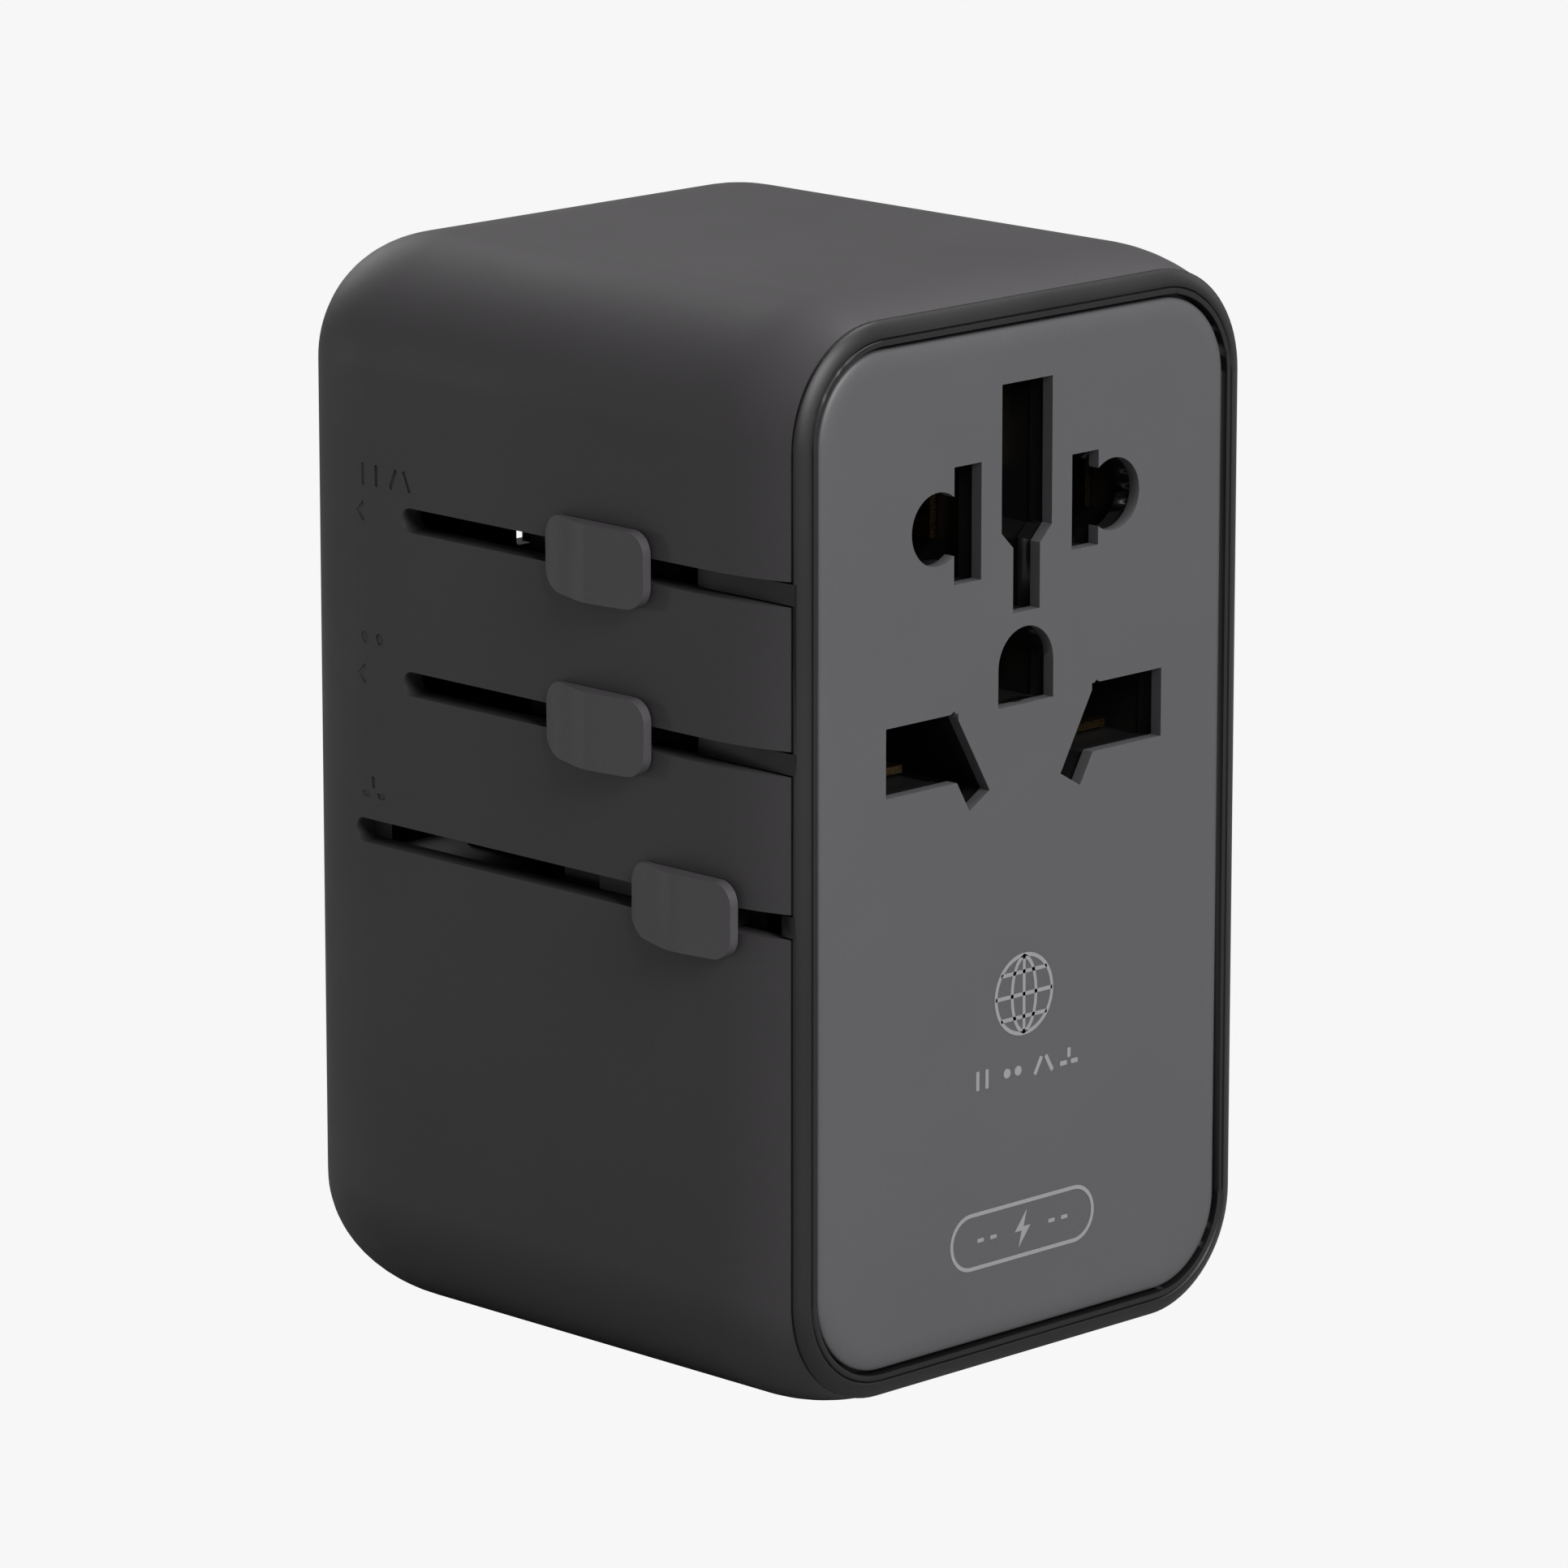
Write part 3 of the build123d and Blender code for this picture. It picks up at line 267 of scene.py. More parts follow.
def plate(width, height, radius, thickness, place, steps=8):
    """A rounded plate, as a mesh of its own. It stands from its own XY plane along its own Z."""
    mesh = bmesh.new()
    face = outline(mesh, width, height, radius, Matrix.Identity(4), steps)
    pull(mesh, face, (0, 0, thickness))
    bmesh.ops.transform(mesh, matrix=place, verts=mesh.verts)
    bmesh.ops.recalc_face_normals(mesh, faces=mesh.faces)
    return mesh


def disc(radius, thickness, place, steps=32):
    """A round plate that stands from its own XY plane along its own Z."""
    mesh = bmesh.new()
    bmesh.ops.create_cone(
        mesh, cap_ends=True, segments=steps, radius1=radius, radius2=radius, depth=thickness,
        matrix=place @ Matrix.Translation((0, 0, thickness / 2)),
    )
    return mesh


def block(low, high):
    """A plain block between two corners, used to cut or to join."""
    mesh = bmesh.new()
    low, high = Vector(low), Vector(high)
    place = Matrix.Translation((low + high) / 2) @ Matrix.Diagonal((*(high - low), 1))
    bmesh.ops.create_cube(mesh, size=1, matrix=place)
    return mesh


def as_object(mesh, name):
    """A bmesh as an object in the scene."""
    data = bpy.data.meshes.new(name)
    mesh.to_mesh(data)
    mesh.free()
    made = bpy.data.objects.new(name, data)
    bpy.context.scene.collection.objects.link(made)
    return made


def settle(piece):
    """Applies a piece's modifiers to its mesh."""
    graph = bpy.context.evaluated_depsgraph_get()
    data = bpy.data.meshes.new_from_object(piece.evaluated_get(graph))
    old = piece.data
    piece.modifiers.clear()
    piece.data = data
    data.name = piece.name
    bpy.data.meshes.remove(old)


def combine(piece, others, operation):
    """Cuts other meshes out of a piece, or joins or keeps what they share, and removes them."""
    group = bpy.data.collections.new("tools")
    bpy.context.scene.collection.children.link(group)
    for number, other in enumerate(others):
        tool = as_object(other, f"tool_{number}")
        bpy.context.scene.collection.objects.unlink(tool)
        group.objects.link(tool)
    change = piece.modifiers.new("change", "BOOLEAN")
    change.operand_type = "COLLECTION"
    change.collection = group
    change.operation = operation
    change.solver = "EXACT"
    change.use_self = True
    before = len(piece.data.vertices)
    settle(piece)
    if not piece.data.vertices:
        raise RuntimeError(f"{piece.name}: {operation} on {before} vertices left nothing")
    for tool in list(group.objects):
        data = tool.data
        bpy.data.objects.remove(tool)
        bpy.data.meshes.remove(data)
    bpy.data.collections.remove(group)


def finish_piece(piece, body, finish, replaces=(), edge=0.0, steps=2, angle=38.0):
    """Rounds a piece's sharp edges, scales it to metres, and gives it its material and its body."""
    if edge:
        rounding = piece.modifiers.new("edge", "BEVEL")
        rounding.width = edge
        rounding.segments = steps
        rounding.limit_method = "ANGLE"
        rounding.angle_limit = math.radians(angle)
        rounding.profile = 0.5
        rounding.use_clamp_overlap = True
        rounding.miter_outer = "MITER_ARC"
        settle(piece)
    mesh = bmesh.new()
    mesh.from_mesh(piece.data)
    bmesh.ops.remove_doubles(mesh, verts=mesh.verts, dist=0.002)
    bmesh.ops.dissolve_degenerate(mesh, edges=mesh.edges, dist=0.001)
    bmesh.ops.scale(mesh, vec=(1 / MM,) * 3, verts=mesh.verts)
    for face in mesh.faces:
        face.smooth = True
    for line in mesh.edges:
        line.smooth = not (len(line.link_faces) == 2 and line.calc_face_angle(0) > math.radians(60))
    mesh.to_mesh(piece.data)
    mesh.free()
    even = piece.modifiers.new("even_shading", "WEIGHTED_NORMAL")
    even.keep_sharp = True
    even.weight = 50
    piece.data.materials.clear()
    piece.data.materials.append(finish)
    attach(piece, body)
    if replaces:
        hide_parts(*replaces)
    return piece


def at_front(x, depth, z, turn=0.0):
    """A place on the socket side: x and z across, at a depth behind the socket face, facing out."""
    spot = Matrix.Translation((x, cad_low.y * MM + depth, z))
    return spot @ FACING_FRONT @ Matrix.Rotation(math.radians(turn), 4, "Z")


def socket_cutters(grow, near, far):
    """Bodies that cut the socket openings between two depths, each opening grown by a margin."""
    h = millimetres(bpy.context.scene.adapter_socket)
    run = far - near
    made = []

    def slot_plate(x, z, width, height, turn=0.0, radius=0.0):
        """Adds one rectangular opening."""
        made.append(plate(width + 2 * grow, height + 2 * grow, radius, run, at_front(x, far, z, turn)))

    for side, tall in ((-1, h.blade_tall), (1, h.blade_short)):
        slot_plate(side * h.blade_offset, h.round_height, h.blade_width, tall)
        made.append(disc(h.round_radius + grow, run, at_front(side * h.round_offset, far, h.round_height), 48))
        slot_plate(side * h.bar_offset, h.bar_height, h.bar_width, h.bar_tall)
        slot_plate(side * h.tilted_offset, h.tilted_height, h.tilted_width, h.tilted_length, -side * 30.0)
    slot_plate(0, (h.earth_top + h.earth_bottom) / 2, h.earth_width, h.earth_top - h.earth_bottom)
    slot_plate(0, (h.earth_bottom + h.narrow_bottom) / 2, h.blade_width, h.earth_bottom - h.narrow_bottom)
    shoulder = bmesh.new()
    ring = [
        (-h.earth_width / 2 - grow, h.earth_bottom + 0.01), (h.earth_width / 2 + grow, h.earth_bottom + 0.01),
        (h.blade_width / 2 + grow, h.earth_bottom - 1.25), (-h.blade_width / 2 - grow, h.earth_bottom - 1.25),
    ]
    face = shoulder.faces.new([shoulder.verts.new((x, z, 0)) for x, z in ring])
    pull(shoulder, face, (0, 0, run))
    bmesh.ops.transform(shoulder, matrix=at_front(0, far, 0), verts=shoulder.verts)
    bmesh.ops.recalc_face_normals(shoulder, faces=shoulder.faces)
    made.append(shoulder)
    arch = h.ground_width / 2
    straight = h.ground_tall - arch
    slot_plate(0, h.ground_bottom + straight / 2, h.ground_width, straight)
    made.append(disc(arch + grow, run, at_front(0, far, h.ground_bottom + straight), 48))
    return made


def screw_spots(s):
    """Where the four corner screws stand, as X and Z."""
    width, height = cad_body_size()
    x = width / 2 - s.edge_radius + 4.5 / math.sqrt(2)
    z = height - s.edge_radius + 4.5 / math.sqrt(2)
    return [(side * x, spot) for side in (-1, 1) for spot in (z, height - z)]


def cad_body_size():
    """The body's width and height in millimetres, from the CAD shell."""
    low, high = corners_of("outer_shell")
    return high.x - low.x, high.z - low.z


def slider_heights():
    """Heights of the three sliders, from their CAD knobs."""
    return {name: sum(corner.z for corner in corners_of(f"{name}_knob")) / 2 for name in ("us", "eu", "uk")}


# ---------------------------------------------------------------- finishes


def add_node(tree, kind, inputs=None, **settings):
    """Adds a node, sets its properties, and sets or links its inputs by name or number."""
    node = tree.nodes.new(kind)
    for name, value in settings.items():
        setattr(node, name, value)
    for name, value in (inputs or {}).items():
        if isinstance(value, bpy.types.NodeSocket):
            tree.links.new(value, node.inputs[name])
        else:
            node.inputs[name].default_value = value
    return node


def start_material(name):
    """An empty node material with its output, coordinates in metres on the object."""
    material = bpy.data.materials.new(name)
    material.use_nodes = True
    tree = material.node_tree
    tree.nodes.clear()
    output = add_node(tree, "ShaderNodeOutputMaterial")
    where = add_node(tree, "ShaderNodeTexCoord").outputs["Object"]
    return material, tree, output, where


def rgba(values):
    """A colour with full alpha."""
    return (*tuple(values)[:3], 1.0)


def shade(values, factor):
    """A colour made lighter or darker."""
    return rgba([min(1.0, v * factor) for v in tuple(values)[:3]])


def moulded(name, tone, grain, relief, roughness, spread=0.05, variation=0.12, specular=0.5, coat=0.0):
    """A moulded plastic: even colour, the grain its mould left, and a gloss that wanders a little."""
    material, tree, output, where = start_material(name)
    # grain is the texture's spacing in millimetres; the noise's scale is its inverse in metres
    fine = add_node(tree, "ShaderNodeTexNoise", {"Vector": where, "Scale": MM / grain, "Detail": 2.5, "Roughness": 0.6})
    broad = add_node(tree, "ShaderNodeTexNoise", {"Vector": where, "Scale": MM / 14.0, "Detail": 3.0, "Roughness": 0.5})
    mixed = add_node(tree, "ShaderNodeMath", {0: fine.outputs["Fac"], 1: 0.65}, operation="MULTIPLY")
    mottle = add_node(tree, "ShaderNodeMath", {0: broad.outputs["Fac"], 1: 0.35, 2: mixed.outputs[0]},
                      operation="MULTIPLY_ADD")
    tint = add_node(tree, "ShaderNodeMix", {0: mottle.outputs[0], 6: shade(tone, 1 - variation),
                                            7: shade(tone, 1 + variation)}, data_type="RGBA")
    gloss = add_node(tree, "ShaderNodeMapRange", {"Value": broad.outputs["Fac"], "From Min": 0.3, "From Max": 0.7,
                                                  "To Min": roughness - spread, "To Max": roughness + spread})
    bump = add_node(tree, "ShaderNodeBump", {"Height": fine.outputs["Fac"], "Distance": relief / MM, "Strength": 1.0})
    shader = add_node(tree, "ShaderNodeBsdfPrincipled", {
        "Base Color": tint.outputs[2], "Roughness": gloss.outputs[0], "Normal": bump.outputs[0],
        "IOR": 1.5, "Specular IOR Level": specular, "Coat Weight": coat, "Coat Roughness": 0.25,
    })
    tree.links.new(shader.outputs[0], output.inputs["Surface"])
    return material


def metal(name, tone, roughness, line_width=0.12, along=(1, 1, 1), relief=0.002, variation=0.12):
    """A metal whose drawing, stamping or plating left fine lines; along squeezes them into a direction."""
    material, tree, output, where = start_material(name)
    turned = add_node(tree, "ShaderNodeMapping", {"Vector": where, "Scale": along})
    lines = add_node(tree, "ShaderNodeTexNoise",
                     {"Vector": turned.outputs[0], "Scale": MM / line_width, "Detail": 3.0, "Roughness": 0.6})
    stain = add_node(tree, "ShaderNodeTexNoise", {"Vector": where, "Scale": MM / 5.0, "Detail": 4.0, "Roughness": 0.6})
    tint = add_node(tree, "ShaderNodeMix", {0: stain.outputs["Fac"], 6: shade(tone, 1 - variation),
                                            7: shade(tone, 1 + variation)}, data_type="RGBA")
    gloss = add_node(tree, "ShaderNodeMapRange", {"Value": lines.outputs["Fac"], "From Min": 0.25, "From Max": 0.75,
                                                  "To Min": roughness * 0.7, "To Max": roughness * 1.4})
    bump = add_node(tree, "ShaderNodeBump", {"Height": lines.outputs["Fac"], "Distance": relief / MM, "Strength": 0.6})
    shader = add_node(tree, "ShaderNodeBsdfPrincipled", {
        "Base Color": tint.outputs[2], "Metallic": 1.0, "Roughness": gloss.outputs[0], "Normal": bump.outputs[0],
    })
    tree.links.new(shader.outputs[0], output.inputs["Surface"])
    return material


def circuit_board():
    """Glass-epoxy board under green solder mask: traces show as slightly raised, lighter tracks."""
    material, tree, output, where = start_material("solder_masked_board")
    # tracks are 0.4 mm wide on a 1.2 mm pitch
    cells = add_node(tree, "ShaderNodeTexBrick", {
        "Vector": where, "Scale": MM / 6.0, "Color1": (0, 0, 0, 1), "Color2": (0, 0, 0, 1), "Mortar": (1, 1, 1, 1),
        "Mortar Size": 0.03, "Mortar Smooth": 0.2, "Brick Width": 0.9, "Row Height": 0.2,
    })
    tint = add_node(tree, "ShaderNodeMix", {0: cells.outputs["Fac"], 6: rgba(linear("#0E3A24")),
                                            7: rgba(linear("#1D5A38"))}, data_type="RGBA")
    bump = add_node(tree, "ShaderNodeBump", {"Height": cells.outputs["Fac"], "Distance": 0.03 / MM})
    shader = add_node(tree, "ShaderNodeBsdfPrincipled", {
        "Base Color": tint.outputs[2], "Roughness": 0.32, "Normal": bump.outputs[0], "IOR": 1.5,
    })
    tree.links.new(shader.outputs[0], output.inputs["Surface"])
    return material


def wound_coil():
    """Copper winding under yellow polyester tape: turns of tape show as low ridges."""
    material, tree, output, where = start_material("taped_winding")
    # the tape is lapped every 1.5 mm
    laps = add_node(tree, "ShaderNodeTexWave", {
        "Vector": where, "Scale": MM / 1.5 / 6.28, "Distortion": 0.6, "Detail": 1.0}, bands_direction="Y")
    tint = add_node(tree, "ShaderNodeMix", {0: laps.outputs["Fac"], 6: rgba(linear("#A97F1C")),
                                            7: rgba(linear("#D8B23E"))}, data_type="RGBA")
    bump = add_node(tree, "ShaderNodeBump", {"Height": laps.outputs["Fac"], "Distance": 0.05 / MM})
    shader = add_node(tree, "ShaderNodeBsdfPrincipled", {
        "Base Color": tint.outputs[2], "Roughness": 0.35, "Normal": bump.outputs[0], "IOR": 1.6,
    })
    tree.links.new(shader.outputs[0], output.inputs["Surface"])
    return material


def make_finishes():
    """Every material, kept under the name of the record's slot that it finishes."""
    c = bpy.context.scene.adapter_colours
    FINISHES.update({
        # Polycarbonate from a spark-eroded mould: an even, fine 0.3 mm grain that softens every reflection
        "shell_plastic": moulded("spark_textured_polycarbonate", c.shell, 0.3, 0.007, 0.54, specular=0.42),
        # The shell's plastic from a smoother insert, touched often, so a little glossier; its colour is set lighter
        # than the shell's as painted light, standing in for the front light that the knobs' tilted pads catch
        "knob_plastic": moulded("smooth_polycarbonate", c.knob, 0.35, 0.004, 0.42),
        # Black polycarbonate from a stone-polished mould: satin, with long soft reflections
        "bezel_plastic": moulded("satin_black_polycarbonate", c.rim, 0.5, 0.002, 0.46, variation=0.08, specular=0.4),
        # Grey polycarbonate with fine aluminium fleck, matt sprayed: 0.25 mm grain, lighter than the shell
        "panel_plastic": moulded("fleck_grey_lacquer", c.panel, 0.25, 0.006, 0.5, variation=0.1),
        # Glass-filled polyester moulded rough: nearly black, broken by short 0.4 mm fibre marks
        "core_plastic": moulded("glass_filled_polyester", c.core, 0.4, 0.004, 0.45, variation=0.2),
        # Polyamide, natural dark grey: a waxy, slightly uneven moulding
        "frame_plastic": moulded("grey_polyamide", linear("#2A2B2D"), 0.6, 0.01, 0.5),
        # Black polyamide sleeves and small mouldings, smooth with a low sheen
        "sleeve_plastic": moulded("black_polyamide", linear("#101011"), 0.5, 0.004, 0.4),
        "spacer_nylon": moulded("natural_nylon", linear("#D9D6C8"), 0.6, 0.008, 0.45),
        # Clear-edged acrylic foam tape, white and faintly cellular
        "adhesive": moulded("acrylic_foam_tape", linear("#C9C8C4"), 0.2, 0.02, 0.8, variation=0.2),
        # Aramid paper: pressed fibres, cream and quite matt
        "sheet": moulded("aramid_paper", linear("#CDBE93"), 0.5, 0.02, 0.75, variation=0.2),
        # Sintered ferrite: dense dark grey ceramic with a ground, sandy face
        "ferrite": moulded("sintered_ferrite", linear("#1B1B1D"), 0.25, 0.02, 0.5, variation=0.35),
        # Shrunk polyester sleeve: smooth and glossy black
        "capacitor_sleeve": moulded("shrunk_polyester_sleeve", linear("#14161A"), 1.0, 0.003, 0.22),
        # Steatite fuse tube: glossy off-white ceramic
        "fuse_ceramic": moulded("glazed_steatite", linear("#E2DED2"), 0.8, 0.003, 0.25),
        # Nickel over brass, drawn then tumbled: pale, slightly warm, with 0.1 mm lines along the pin
        "pin_metal": metal("nickel_plated_brass", c.nickel, 0.24, 0.12, (1, 0.06, 1)),
        # Brass strip, rolled and stamped: warm yellow, rolling lines along the strip; the tone is partly brass and
        # partly painted shade, darkened well below bright brass for the contacts' place deep inside the socket holes
        "contact_metal": metal("rolled_brass", c.brass, 0.3, 0.15, (1, 0.1, 1)),
        # Zinc-plated steel screws: blueish grey, uneven
        "screw_steel": metal("zinc_plated_steel", linear("#A9ADB2"), 0.34, 0.3),
        # Stainless port shells, folded from bright strip
        "port_steel": metal("bright_stainless", linear("#B8B8B6"), 0.22, 0.1, (1, 1, 0.08)),
        # Aluminium plate, milled: light, with fine lines
        "spreader_aluminium": metal("milled_aluminium", linear("#C8CACC"), 0.35, 0.2, (0.1, 1, 1)),
        "board": circuit_board(),
        "winding": wound_coil(),
        # Pad-printed ink: opaque, dry, with 0.2 mm unevenness from the pad
        "ink": moulded("pad_printed_ink", c.ink, 0.2, 0.003, 0.6, variation=0.08),
    })


# ---------------------------------------------------------------- pieces


class ADAPTER_OT_finishes(bpy.types.Operator):
    """Make the materials and give each CAD node that shows its finish"""

    bl_idname = "adapter.finishes"
    bl_label = "Finishes"

    def execute(self, context):
        make_finishes()
        for name, node in frame["nodes"].items():
            slot = node.data.materials[0].name.split(".")[0]
            if slot not in FINISHES:
                raise RuntimeError(f"CAD node {name} asks for {slot}, which has no finish")
            node.data.materials[0] = FINISHES[slot]
        return {"FINISHED"}


class ADAPTER_OT_shell(bpy.types.Operator):
    """Mould the shell: drawn-in sides, rounded back, slider slots, pin openings and port openings"""

    bl_idname = "adapter.shell"
    bl_label = "Shell"

    def execute(self, context):
        s = millimetres(context.scene.adapter_shell)
        width, height = cad_body_size()
        front, back = cad_low.y * MM, cad_high.y * MM
        mesh = bmesh.new()
        start = at_front(0, s.front_run, height / 2)
        cap = outline(mesh, width, height, s.edge_radius, start, 20)
        rear = pull(mesh, cap, (0, back - front - s.front_run - s.back_run, 0))
        bmesh.ops.recalc_face_normals(mesh, faces=mesh.faces)
        steps = 24
        for step in range(1, steps + 1):
            gained = s.front_in * ((step / steps) ** 2 - ((step - 1) / steps) ** 2)
            step_in(mesh, cap, gained, (s.front_run - s.seam) / steps)
        arc = [math.radians(90 * step / 16) for step in range(17)]
        for before, after in zip(arc, arc[1:]):
            step_in(mesh, rear, s.back_in * (math.cos(before) - math.cos(after)),
                    s.back_run * (math.sin(after) - math.sin(before)))
        # the cavity goes in from the front and follows the back's rounding
        step_in(mesh, cap, s.wall - s.front_in, 0.0)
        floor = pull(mesh, cap, (0, back - front - s.back_run - s.seam, 0))
        inner = 0.65 * s.back_in
        for before, after in zip(arc[::2], arc[2::2]):
            step_in(mesh, floor, inner * (math.cos(before) - math.cos(after)),
                    -(s.back_run - s.back_wall) * (math.sin(after) - math.sin(before)))
        bmesh.ops.recalc_face_normals(mesh, faces=mesh.faces)
        piece = as_object(mesh, "shell")
        combine(piece, self.inner_posts(s, width, height, front), "UNION")
        combine(piece, self.openings(s, width, front, back), "DIFFERENCE")
        finish_piece(piece, "housing", FINISHES["shell_plastic"], ("outer_shell",), s.edge_break)
        return {"FINISHED"}

    def inner_posts(self, s, width, height, front):
        """Screw posts with their webs, ribs beside the slider rails and the port board's posts."""
        made = []
        for x, z in screw_spots(s):
            made.append(disc(2.6, 16.85, at_front(x, 19.6, z), 32))
            lean = 45 if (x > 0) == (z > height / 2) else -45
            reach = 1 if z > height / 2 else -1
            made.append(plate(3.6, 2.4, 0, 16.85, at_front(x + math.copysign(1.8, x), 19.6, z + reach * 1.8, lean)))
        inside = -width / 2 + s.wall
        for spot in slider_heights().values():
            for side in (-1, 1):
                rib = spot + side * 3.4
                made.append(block((inside - 0.5, front + 4.0, rib - 0.5), (inside + 1.9, front + 46.0, rib + 0.5)))
        for x in (-11.4, 11.4):
            place = Matrix.Translation((x, front + 25.0, s.wall - 0.1))
            made.append(disc(2.2, 15.6 - s.wall + 0.1, place, 24))
        return made

    def openings(self, s, width, front, back):
        """Slots, pin openings, port openings, screw holes and the moulded marks."""
        made = []
        side_face = -width / 2
        heights = slider_heights()
        for name, height in heights.items():
            end = s.long_slot_end if name == "uk" else s.short_slot_end
            place = Matrix.Translation((side_face + s.wall + 0.01, front + (end - 3) / 2, height)) @ FACING_SIDE
            made.append(plate(end + 3, s.slot_height, s.slot_height / 2 - 0.001, s.wall + 1.0, place, 8))
        beyond = back - front + 1
        deep = s.back_wall + 2
        for side in (-1, 1):
            for turn in range(5):
                x, z = side * 6.35, heights["us"]
                made.append(plate(2.2, 7.05, 0, deep, at_front(x, beyond, z, side * 30 * turn / 4)))
            made.append(disc(2.35, deep, at_front(side * 9.5, beyond, heights["eu"]), 32))
            made.append(plate(7.05, 4.675, 0.25, deep, at_front(side * 11.11, beyond, heights["uk"]), 3))
        made.append(plate(4.675, 8.65, 0.25, deep, at_front(0, beyond, heights["uk"] + 22.23), 3))
        for depth in (11.5, 20.5):
            place = Matrix.Translation((0, front + depth, s.wall + 1)) @ FACING_DOWN
            made.append(plate(13.5, 6.1, 0.6, s.wall + 2, place, 5))
        for depth in (29.0, 36.5):
            place = Matrix.Translation((0, front + depth, s.wall + 1)) @ FACING_DOWN
            made.append(plate(9.34, 3.66, 1.82, s.wall + 2, place, 10))
        for x, z in screw_spots(s):
            made.append(disc(1.0, 11.0, at_front(x, 13.75, z), 20))
        for x in (-11.4, 11.4):
            made.append(disc(0.9, 6.1, Matrix.Translation((x, front + 25.0, 9.6)), 20))
        return made + self.marks(s, side_face, front, heights)

    def marks(self, s, side_face, front, heights):
        """Small pin pictures sunk beside each slot's back end: two blades, two rounds and three bars."""
        made = []

        def sink(depth, height, wide, tall, radius=0.15, turn=0.0):
            """Adds one sunk stroke."""
            place = Matrix.Translation((side_face + s.mark_depth, front + depth, height)) @ FACING_SIDE
            place = place @ Matrix.Rotation(math.radians(turn), 4, "Z")
            made.append(plate(wide, tall, radius, s.mark_depth + 1, place, 4))

        us, eu, uk = heights["us"], heights["eu"], heights["uk"]
        for shift in (-0.75, 0.75):
            sink(45.0 + shift, us + 2.9, 0.4, 1.7)
            sink(41.6 + shift, us + 2.9, 0.4, 1.7, turn=-25 if shift > 0 else 25)
            sink(44.9 + shift * 1.1, eu + 2.9, 0.9, 0.9, 0.44)
            sink(44.9 + shift * 1.15, uk + 2.9, 0.9, 0.45)
        sink(44.9, uk + 3.9, 0.45, 0.9)
        chevron = ((-0.5, 0), (0.3, 0.8), (0.55, 0.55), (0, 0), (0.55, -0.55), (0.3, -0.8))
        for height in (us, eu):
            cutter = bmesh.new()
            face = cutter.faces.new([cutter.verts.new((x, y, 0)) for x, y in chevron])
            pull(cutter, face, (0, 0, s.mark_depth + 1))
            place = Matrix.Translation((side_face + s.mark_depth, front + 46.1, height)) @ FACING_SIDE
            bmesh.ops.transform(cutter, matrix=place, verts=cutter.verts)
            bmesh.ops.recalc_face_normals(cutter, faces=cutter.faces)
            made.append(cutter)
        return made


class ADAPTER_OT_rim(bpy.types.Operator):
    """Mould the satin rim: sloping face, lip, tray behind the panel, and the tongues in the slots"""

    bl_idname = "adapter.rim"
    bl_label = "Rim"

    def execute(self, context):
        s = millimetres(context.scene.adapter_shell)
        f = millimetres(context.scene.adapter_front)
        width, height = cad_body_size()
        front = cad_low.y * MM
        seam_in = s.front_in
        mesh = bmesh.new()
        back_cap = outline(mesh, width - 2 * seam_in, height - 2 * seam_in, s.edge_radius - seam_in,
                           at_front(0, s.seam - f.seam_gap, height / 2), 20)
        edge = 0.16
        cap = pull(mesh, back_cap, (0, -edge, 0))
        bmesh.ops.recalc_face_normals(mesh, faces=mesh.faces)
        # the slope bulges a little: it leaves the seam steeply and lies flatter towards the lip
        rise = s.seam - f.seam_gap - edge - f.lip_depth
        steps = 6
        for step in range(steps):
            here, there = (math.radians(90 * (0.32 + 0.5 * k / steps)) for k in (step, step + 1))
            low, high = math.radians(90 * 0.32), math.radians(90 * 0.82)
            inward = f.slope_in * (math.cos(here) - math.cos(there)) / (math.cos(low) - math.cos(high))
            forward = rise * (math.sin(there) - math.sin(here)) / (math.sin(high) - math.sin(low))
            step_in(mesh, cap, inward, forward)
        step_in(mesh, cap, f.crease / 2, -0.2)
        step_in(mesh, cap, f.crease / 2, 0.2)
        step_in(mesh, cap, f.land, 0.0)
        pull(mesh, cap, (0, f.tray_front - f.lip_depth, 0))
        step_in(mesh, back_cap, 0.5, 0.0)
        neck = pull(mesh, back_cap, (0, f.seam_gap, 0))
        step_in(mesh, neck, s.wall + 0.15 - seam_in - 0.5, 0.0)
        pull(mesh, neck, (0, f.tray_front + f.tray - s.seam, 0))
        bmesh.ops.recalc_face_normals(mesh, faces=mesh.faces)
        piece = as_object(mesh, "rim")
        holes = socket_cutters(0.25, f.tray_front - 0.5, f.tray_front + f.tray + 1)
        for x, z in screw_spots(s):
            holes.append(disc(1.1, 3.0, at_front(x, f.tray_front + f.tray + 1, z), 24))
            holes.append(disc(1.95, 1.6, at_front(x, f.tray_front + 0.8, z), 24))
        combine(piece, holes, "DIFFERENCE")
        tongues = []
        for name, spot in slider_heights().items():
            end = 1.9 if name == "uk" else 10.6
            half = s.slot_height / 2 - 0.15
            tongues.append(block((-width / 2 + 0.6 + s.front_in / 2, front + s.seam - 0.5, spot - half),
                                 (-width / 2 + s.wall + 0.3, front + end, spot + half)))
        combine(piece, tongues, "UNION")
        finish_piece(piece, "housing", FINISHES["bezel_plastic"], ("front_bezel",), 0.1)
        return {"FINISHED"}


